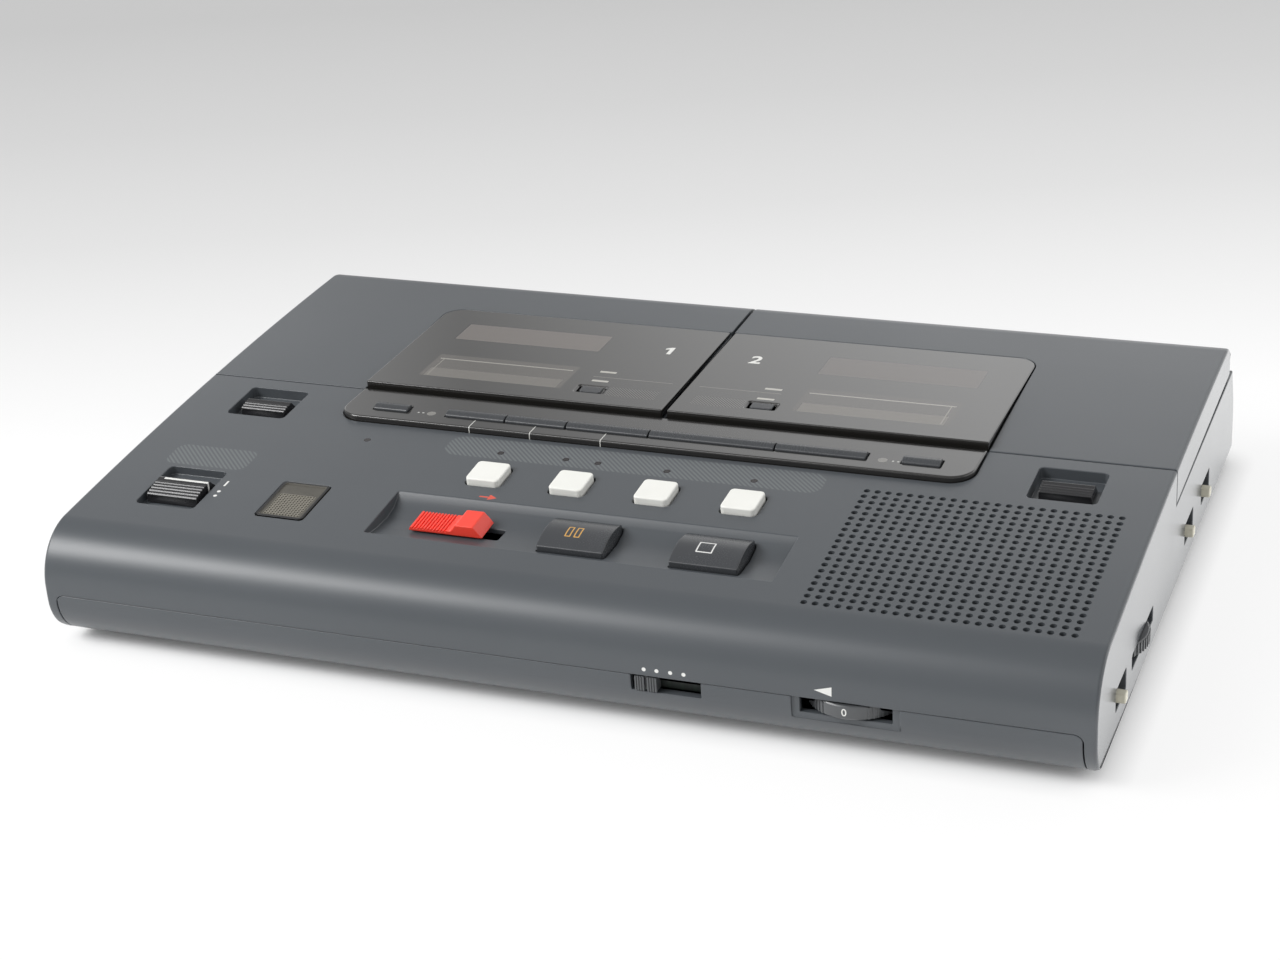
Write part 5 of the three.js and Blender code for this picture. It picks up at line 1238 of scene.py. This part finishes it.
def strip_key(name, node, body, x, width):
    half = KEY_DEPTH / 2
    radius = half * math.sqrt(2)
    centre = 1.0 - half - half * (math.sqrt(2) - 1)
    crown = [(-half, -1.4), (half, -1.4)] + arc(0, centre, radius, 45, 135, 14)
    stem = block(-width * 0.3, width * 0.3, -0.9, 0.9, -7.4, -1.1)
    bm = solid(prism("X", crown, -width / 2, width / 2), joins=[stem])
    moved(bm, x, KEY_Y, bar_top_at(KEY_Y))
    piece(name, softened(bm, 0.28), body, KEY, node)


def keys():
    for i, (x, width) in enumerate(key_xs(), 1):
        strip_key(f"strip_key_{i}", f"transport_key_{i}", f"transport_{i}", x, width)
    for i, side in enumerate((-1, 1), 1):
        strip_key(f"side_key_{i}", f"deck_key_{i}", f"deck_{i}", side * DECK_KEY_X, DECK_KEY_WIDTH)


# Buttons and big keys
def mode_buttons():
    for i, x in enumerate(BUTTON_XS, 1):
        cap = prism("Z", rounded(10.0, 10.4, 1.4), -3.4, 1.8)
        flange = prism("Z", rounded(13.0, 13.4, 0.6), -4.0, -2.8)
        bm = on_top(solid(cap, joins=[flange]), x, BUTTON_Y)
        piece(f"button_cap_{i}", softened(bm, 0.5, segments=4), f"mode_{i}", WHITE, f"mode_button_{i}")


def big_keys():
    half = BIG_KEY[1] / 2
    rise = 1.7
    radius = (half ** 2 + rise ** 2) / (2 * rise)
    spread = math.degrees(math.asin(half / radius))
    crown = [(-half, -6.1), (half, -6.1)] + arc(0, rise - 0.9 - radius, radius, 90 - spread, 90 + spread, 16)
    for name, x in zip(("pause", "stop"), BIG_KEY_XS):
        cap = prism("X", crown, -BIG_KEY[0] / 2, BIG_KEY[0] / 2)
        lip = prism("Z", rounded(21.0, 17.0, 0.6), -6.7, -5.5)
        bm = on_top(solid(cap, joins=[lip]), x, BIG_KEY_Y)
        piece(f"{name}_cap", softened(bm, 0.35), name, KEY, f"{name}_key")


# Sliders
def slider_foot(sink, base, foot=2.0):
    under = -sink - TRAY_FLOOR - GAP
    stem = block(-2.0, 2.0, -1.5, 1.5, under - 0.7, base + GAP)
    plate = block(-2.0 - foot, 2.0 + foot, -1.5 - foot, 1.5 + foot, under - 1.4, under)
    return [stem, plate]


# One ridge of a knob: shares of its pitch, each with its depth under the crest in millimetres
RIDGE = ((0.2, 0.3), (0.32, 0.1), (0.5, 0.0), (0.78, 0.0), (0.94, 0.1), (1.06, 0.3))


def ribbed_slider(name, node, body, width, length, top, sink, proud, x, y, ribs, pitch, back_round, drop):
    base = -sink + GAP
    front = -length / 2

    def height(run):
        return proud - drop * (1 - run / top) ** 2
    profile = [(front, base), (length / 2, base)]
    profile += arc(front + top, proud - back_round, back_round, 25, 90, 8)
    ridges = [(0.0, 0.3)]
    for i in range(ribs):
        ridges += [(pitch * (i + share), sink_in) for share, sink_in in RIDGE]
    profile += [(front + run, height(run) - sink_in) for run, sink_in in reversed(ridges)]
    bm = solid(prism("X", profile, -width / 2, width / 2), joins=slider_foot(sink, base))
    mesh = softened(on_top(bm, x, y), 0.16, lambda co: 0.0 if abs(co.x - x) < 0.1 else 1.0)
    mesh.set_sharp_from_angle(angle=math.radians(38))
    piece(name, mesh, body, BLACK, node)


def sliders():
    ribbed_slider("power_knob", "power_slider", "power", 16.0, 12.0, 7.4, 2.6, 1.5, POWER_X, POWER_Y, 5, 1.2,
                  2.2, 1.1)
    for i, side in enumerate((-1, 1), 1):
        ribbed_slider(f"eject_knob_{i}", f"eject_slider_{i}", f"eject_{i}", 14.4, 8.0, 4.6, 3.4, 0.2, side * EJECT_X,
                      EJECT_Y, 3, 1.1, 1.2, 0.7)


def record_knob():
    floor = -(TRAY_FRONT_SINK + 2 * TRAY_SINK) / 3
    base = floor + 2 * GAP
    low, high = -1.1, 1.0
    start, end = -11.0, 11.0
    block_from = end - 9.2
    profile = [(start, base), (end, base), (end - 0.9, low + 0.1)]
    profile += arc(end - 2.9, high - 0.8, 0.8, 25, 90, 5) + arc(block_from + 1.9, high - 0.8, 0.8, 90, 140, 5)
    profile += [(block_from + 0.3, low + 0.55), (block_from - 0.3, low), (start + 0.6, low)]
    grooves = [block(start + 1.3 + i * 0.95, start + 1.3 + i * 0.95 + 0.42, -9, 9, low - 0.45, low + 1.2)
               for i in range(11)]
    body = solid(prism("Y", profile, -4.3, 4.3), cuts=grooves)
    foot_top = floor - 2 * TRAY_FLOOR
    joins = [block(-3.0, 3.0, -1.5, 1.5, foot_top - GAP, base + GAP),
             block(-6.0, 6.0, -4.3, 4.3, foot_top - 1.4, foot_top)]
    bm = on_top(solid(body, joins=joins), RECORD_X, RECORD_Y)

    def rule(co):
        return 0.3 if co.x < RECORD_X + block_from - 0.3 and co.z > top_at(RECORD_Y) - 2.2 else 1.0
    piece("record_knob", softened(bm, 0.35, rule, limit=25), "record", RED, "record_slider")


# Wheels and switches
def thumb_wheel(name, node, body, x, y, z, radius, thickness, ring, bare):
    half = thickness / 2
    disc = closed(turned([(1.6, -half), (radius - 0.5, -half), (radius - 0.25, 0.3 - half),
                          (radius - 0.25, half - 0.3), (radius - 0.5, half), (1.6, half), (1.6, -half)], 72))
    smooth(disc)
    mesh = mesh_of(moved(disc, x, y, z))
    mesh.set_sharp_from_angle(angle=math.radians(35))
    piece(name, mesh, body, WHEEL, node)
    ridge = prism("Z", [(-0.6, -0.3), (-0.02, -0.2), (0.0, 0.0), (-0.02, 0.2), (-0.6, 0.3)], 0.25 - half, half - 0.25)
    count = 64
    middle = count * 3 // 4
    ridges = repeated(ridge, ring, WHEEL, count=count, radius=radius, bare_from=middle - bare, bare_to=middle + bare)
    ridges.transform(Matrix.Translation((x, y, z)))
    ridges.shade_flat()
    piece(name + "_ridges", ridges, body, WHEEL)


def wheels(ring):
    thumb_wheel("volume_disc", "volume_wheel", "volume", VOLUME_X, VOLUME_Y, VOLUME_Z, VOLUME_RADIUS, 3.8, ring, 4)
    thumb_wheel("side_disc", "side_wheel", "side_volume", *SIDE_WHEEL, SIDE_Z, SIDE_WHEEL_RADIUS, 3.6, ring, 0)
    place = Matrix.Translation((VOLUME_X, VOLUME_Y - VOLUME_RADIUS + 0.24, VOLUME_Z))
    lettering("volume_nought", "0", 2.9, "volume", place @ Matrix.Rotation(math.radians(90), 4, "X"), 0.03)


def front_switch():
    body = block(-3.0, 3.0, -0.2, 3.1, -2.0, 2.0)
    cuts = [block(-0.4, 0.4, -OVER, 0.8, -4, 4)]
    for x in (-2.4, -1.7, -1.0, 1.0, 1.7, 2.4):
        cuts.append(block(x - 0.14, x + 0.14, -OVER, 0.1, -4, 4))
    bm = moved(solid(body, cuts=cuts), 31.6, TIP_Y, VOLUME_Z)
    piece("monitor_knob", softened(bm, 0.1), "monitor", WHEEL, "monitor_switch")


def side_switches():
    for i, y in enumerate(SWITCH_YS, 1):
        tip = prism("X", rounded(3.1, 2.8, 0.6), -3.5, 2.1)
        plate = block(-4.9, -3.2, -7.75, 7.75, -2.15, 2.15)
        bm = moved(solid(tip, joins=[plate]), HALF, y - 3.0, SIDE_Z)
        piece(f"side_knob_{i}", softened(bm, 0.45, segments=4), f"side_{i}", CREAM, f"side_switch_{i}")


# Sockets
def sockets():
    bm = block(0.0, 14.0, -7.0, 35.0, -4.2, 4.5)
    joins = [prism("X", circle(3.6, 32, i * 14.0, 0), -3.5, OVER) for i in range(3)]
    cuts = [prism("X", circle(1.8, 32, i * 14.0, 0), -6.0, 12.0) for i in range(3)]
    cuts += [solid(prism("X", circle(3.0, 32, i * 14.0, 0), -5.0, -3.1)) for i in range(3)]
    body = moved(solid(bm, joins=joins, cuts=cuts), GAP - INNER_HALF, JACK_YS[0], JACK_Z)
    piece("socket_block", softened(body, 0.15), "case", INNER, "jack_block")
    shell = prism("X", rounded(19.0, 11.0, 0.6), 0.0, 16.0)
    cavity = prism("X", rounded(13.0, 7.6, 3.5, steps=10), -OVER, 9.0)
    pins = [prism("X", circle(1.15, 24, side * 4.3, 0), 2.0, 10.0) for side in (-1, 1)]
    inlet = moved(solid(solid(shell, cuts=[cavity]), joins=pins), -HALF, INLET[0], INLET[1])
    piece("mains_socket", softened(inlet, 0.2), "case", INNER, "power_inlet")


# Mechanisms under the lids
def mechanism(number, side):
    x = side * WINDOW_X
    for kind, offset in (("supply", -HUB_OFFSET), ("takeup", HUB_OFFSET)):
        core = turned([(0, -2.1), (1.0, -2.1), (1.0, 0.3), (5.2, 0.3), (5.2, 1.2), (2.3, 1.2), (2.3, 9.3),
                       (1.6, 10.2), (0, 11.1)], 40)
        fins = [moved(block(0, 3.9, -0.45, 0.45, 0.75, 7.9), spin=math.radians(120 * i)) for i in range(3)]
        bm = moved(solid(core, joins=fins), x + offset, HUB_Y, PLATE_Z)
        piece(f"{kind}_hub_{number}", softened(bm, 0.15, limit=40), f"{kind}_{number}", HUB,
              f"{kind}_spindle_{number}")
    shaft = turned([(0, -5.3), (13.6, -5.3), (14.0, -4.9), (14.0, -2.2), (13.6, -1.8), (1.0, -1.8), (1.0, 8.8),
                    (0.8, 9.0), (0, 9.0)], 56)
    shaft = moved(shaft, x + CAPSTAN_OFFSET, CAPSTAN_Y, PLATE_Z)
    piece(f"capstan_wheel_{number}", softened(shaft, 0.1, limit=50), f"capstan_body_{number}", BRASS,
          f"capstan_{number}")
    roller = closed(turned([(0.95, 0), (2.8, 0), (3.0, 0.25), (3.0, 6.25), (2.8, 6.5), (0.95, 6.5), (0.95, 0)], 40))
    roller = moved(roller, x + CAPSTAN_OFFSET, ROLLER_Y, ROLLER_Z)
    piece(f"rubber_roller_{number}", softened(roller, 0.06, limit=50), f"roller_{number}", RUBBER,
          f"pinch_roller_{number}")


# Carried-over nodes: a merged copy with fine rounded edges
def refined(node, name, body, finish, width=0.15):
    bm = opened(frame["nodes"][node].data)
    bm.transform(Matrix.Scale(1 / MM, 4))
    bmesh.ops.remove_doubles(bm, verts=bm.verts[:], dist=MERGE)
    flattened(bm, 0.4)
    piece(name, softened(bm, width, limit=35, segments=2), body, finish, node)


def inner_pieces():
    for number in (1, 2):
        refined(f"cassette_holder_{number}", f"cassette_slot_{number}", f"lid_{number}", INNER)
        refined(f"counter_display_{number}", f"counter_window_{number}", f"lid_{number}", GLASS)
        refined(f"deck_plate_{number}", f"chassis_{number}", "case", STEEL, 0.12)
        refined(f"head_carriage_{number}", f"head_plate_{number}", f"head_{number}", STEEL, 0.1)
    refined("circuit_board", "wiring_board", "case", BOARD, 0.1)


# Stage, light and camera
def graded(name, direction, stops, own_glow, gloss_boost):
    made = bpy.data.materials.new(name)
    made.use_nodes = True
    tree = Nodes(made.node_tree)
    tree.tree.nodes.clear()
    place = tree.node("ShaderNodeTexCoord").outputs["Object"]
    along = tree.node("ShaderNodeVectorMath", [place, direction], operation="DOT_PRODUCT").outputs["Value"]
    low, high = stops[0][0], stops[-1][0]
    fade = tree.node("ShaderNodeValToRGB", [tree.node("ShaderNodeMapRange", [along, low, high]).outputs[0]])
    ramp = fade.color_ramp.elements
    for position, grey in stops[1:-1]:
        ramp.new((position - low) / (high - low)).color = (grey, grey, grey, 1)
    for element, (_, grey) in ((ramp[0], stops[0]), (ramp[-1], stops[-1])):
        element.color = (grey, grey, grey, 1)
    diffuse = tree.node("ShaderNodeBsdfDiffuse", [fade.outputs[0]])
    path = tree.node("ShaderNodeLightPath").outputs
    camera_ray, glossy_ray = (Signal(tree, path[label]) for label in ("Is Camera Ray", "Is Glossy Ray"))
    # Seen in gloss, the surface glows more from 120 to 170 mm to the right of the middle
    beside = tree.node("ShaderNodeMapRange", [tree.split(place)[0], 0.12, 0.17, 0.3]).outputs[0]
    lit = glossy_ray * Signal(tree, beside)
    glow = tree.node("ShaderNodeEmission", [fade.outputs[0], lit.sum("MULTIPLY_ADD", lit, gloss_boost, 1.0)])
    # Painted contact shadow: the floor's own glow is darkened by ambient occlusion close to the object
    occlusion_shade = Signal(tree, tree.node("ShaderNodeAmbientOcclusion", {1: 0.009}, samples=12).outputs["AO"])
    part = camera_ray.most(glossy_ray) * own_glow * occlusion_shade.sum("POWER", occlusion_shade, 1.2)
    mix = tree.node("ShaderNodeMixShader", [part, diffuse.outputs[0], glow.outputs[0]])
    tree.node("ShaderNodeOutputMaterial", [mix.outputs[0]])
    return made


def staged(name, bm, finish):
    mesh = mesh_of(bm, name)
    mesh.materials.append(finish)
    linked(name, mesh)


def stage():
    floor = graded("pale_floor", (-0.3825, 0.9239, 0.0),
                   ((0.09, 1.0), (0.17, 0.91), (0.3, 0.765), (0.45, 0.665), (0.64, 0.585)), 0.84, 0.85)
    staged("floor", prism("Z", rounded(12.0, 12.0, 2.0, 0, 0, 8), -0.02, 0.0), floor)
    backdrop = graded("pale_backdrop", (1.0, 0.0, 0.0),
                      ((-1.6, 1.15), (-1.15, 0.52), (-0.8, 0.98), (-0.45, 1.35), (0.4, 1.35)), 1.0, 0.0)
    staged("backdrop", block(-3.0, 3.0, 2.2, 2.25, 0.0, 1.7), backdrop)


def world():
    made = bpy.data.worlds.new("studio")
    made.use_nodes = True
    background = made.node_tree.nodes["Background"].inputs
    background["Color"].default_value = (1.0, 1.0, 1.0, 1)
    background["Strength"].default_value = 0.54
    scene.world = made


def lamp(name, place, target, size, glow):
    data = bpy.data.lights.new(name, "AREA")
    data.shape = "RECTANGLE"
    data.size, data.size_y = size
    data.energy = glow * math.pi * size[0] * size[1]
    made = linked(name, data)
    made.location = place
    made.rotation_euler = (Vector(target) - Vector(place)).to_track_quat("-Z", "Y").to_euler()


def lights():
    lamp("key_light", (-1.05, -0.69, 1.0), (-0.1, -0.09, 0.03), (0.75, 0.6), 11.6)
    lamp("key_fade", (-0.5, -0.69, 1.0), (-0.05, -0.09, 0.03), (0.4, 0.5), 3.8)
    lamp("right_card", (1.4, 0.3, 0.6), (0.1, 0.0, 0.0), (1.6, 0.9), 1.0)


def camera():
    yaw, pitch, roll = (math.radians(v) for v in (22.489, 25.208, -3.756))
    forward = Vector((-math.sin(yaw) * math.cos(pitch), math.cos(yaw) * math.cos(pitch), -math.sin(pitch)))
    right = Vector((math.cos(yaw), math.sin(yaw), 0))
    up = right.cross(forward)
    across = right * math.cos(roll) + up * math.sin(roll)
    upright = up * math.cos(roll) - right * math.sin(roll)
    data = bpy.data.cameras.new("camera")
    data.lens = 72.79
    data.sensor_width = 36
    data.sensor_fit = "HORIZONTAL"
    data.clip_start = 0.01
    made = linked("camera", data)
    matrix = Matrix((across, upright, -forward)).transposed().to_4x4()
    matrix.translation = (0.253454, -0.631849, 0.342965)
    made.matrix_world = matrix
    scene.camera = made


# Assembly
GRID = grid_tree("repeat_on_grid", False)
ARCHED = grid_tree("repeat_on_arch", True)
RING = ring_tree("repeat_around_ring")
case_top()
case_bottom()
feet()
screws(GRID)
speaker_area(ARCHED)
microphone(ARCHED)
loudspeaker()
for number, side in ((1, -1), (2, 1)):
    lid(number, side)
    panel(number, side)
    counter_key(number, side)
    mechanism(number, side)


panel_numbers()
key_strip()
keys()
mode_buttons()
big_keys()
sliders()
record_knob()
wheels(RING)
front_switch()
side_switches()
sockets()
inner_pieces()
stage()
world()
lights()
camera()
scene.view_settings.view_transform = "Standard"
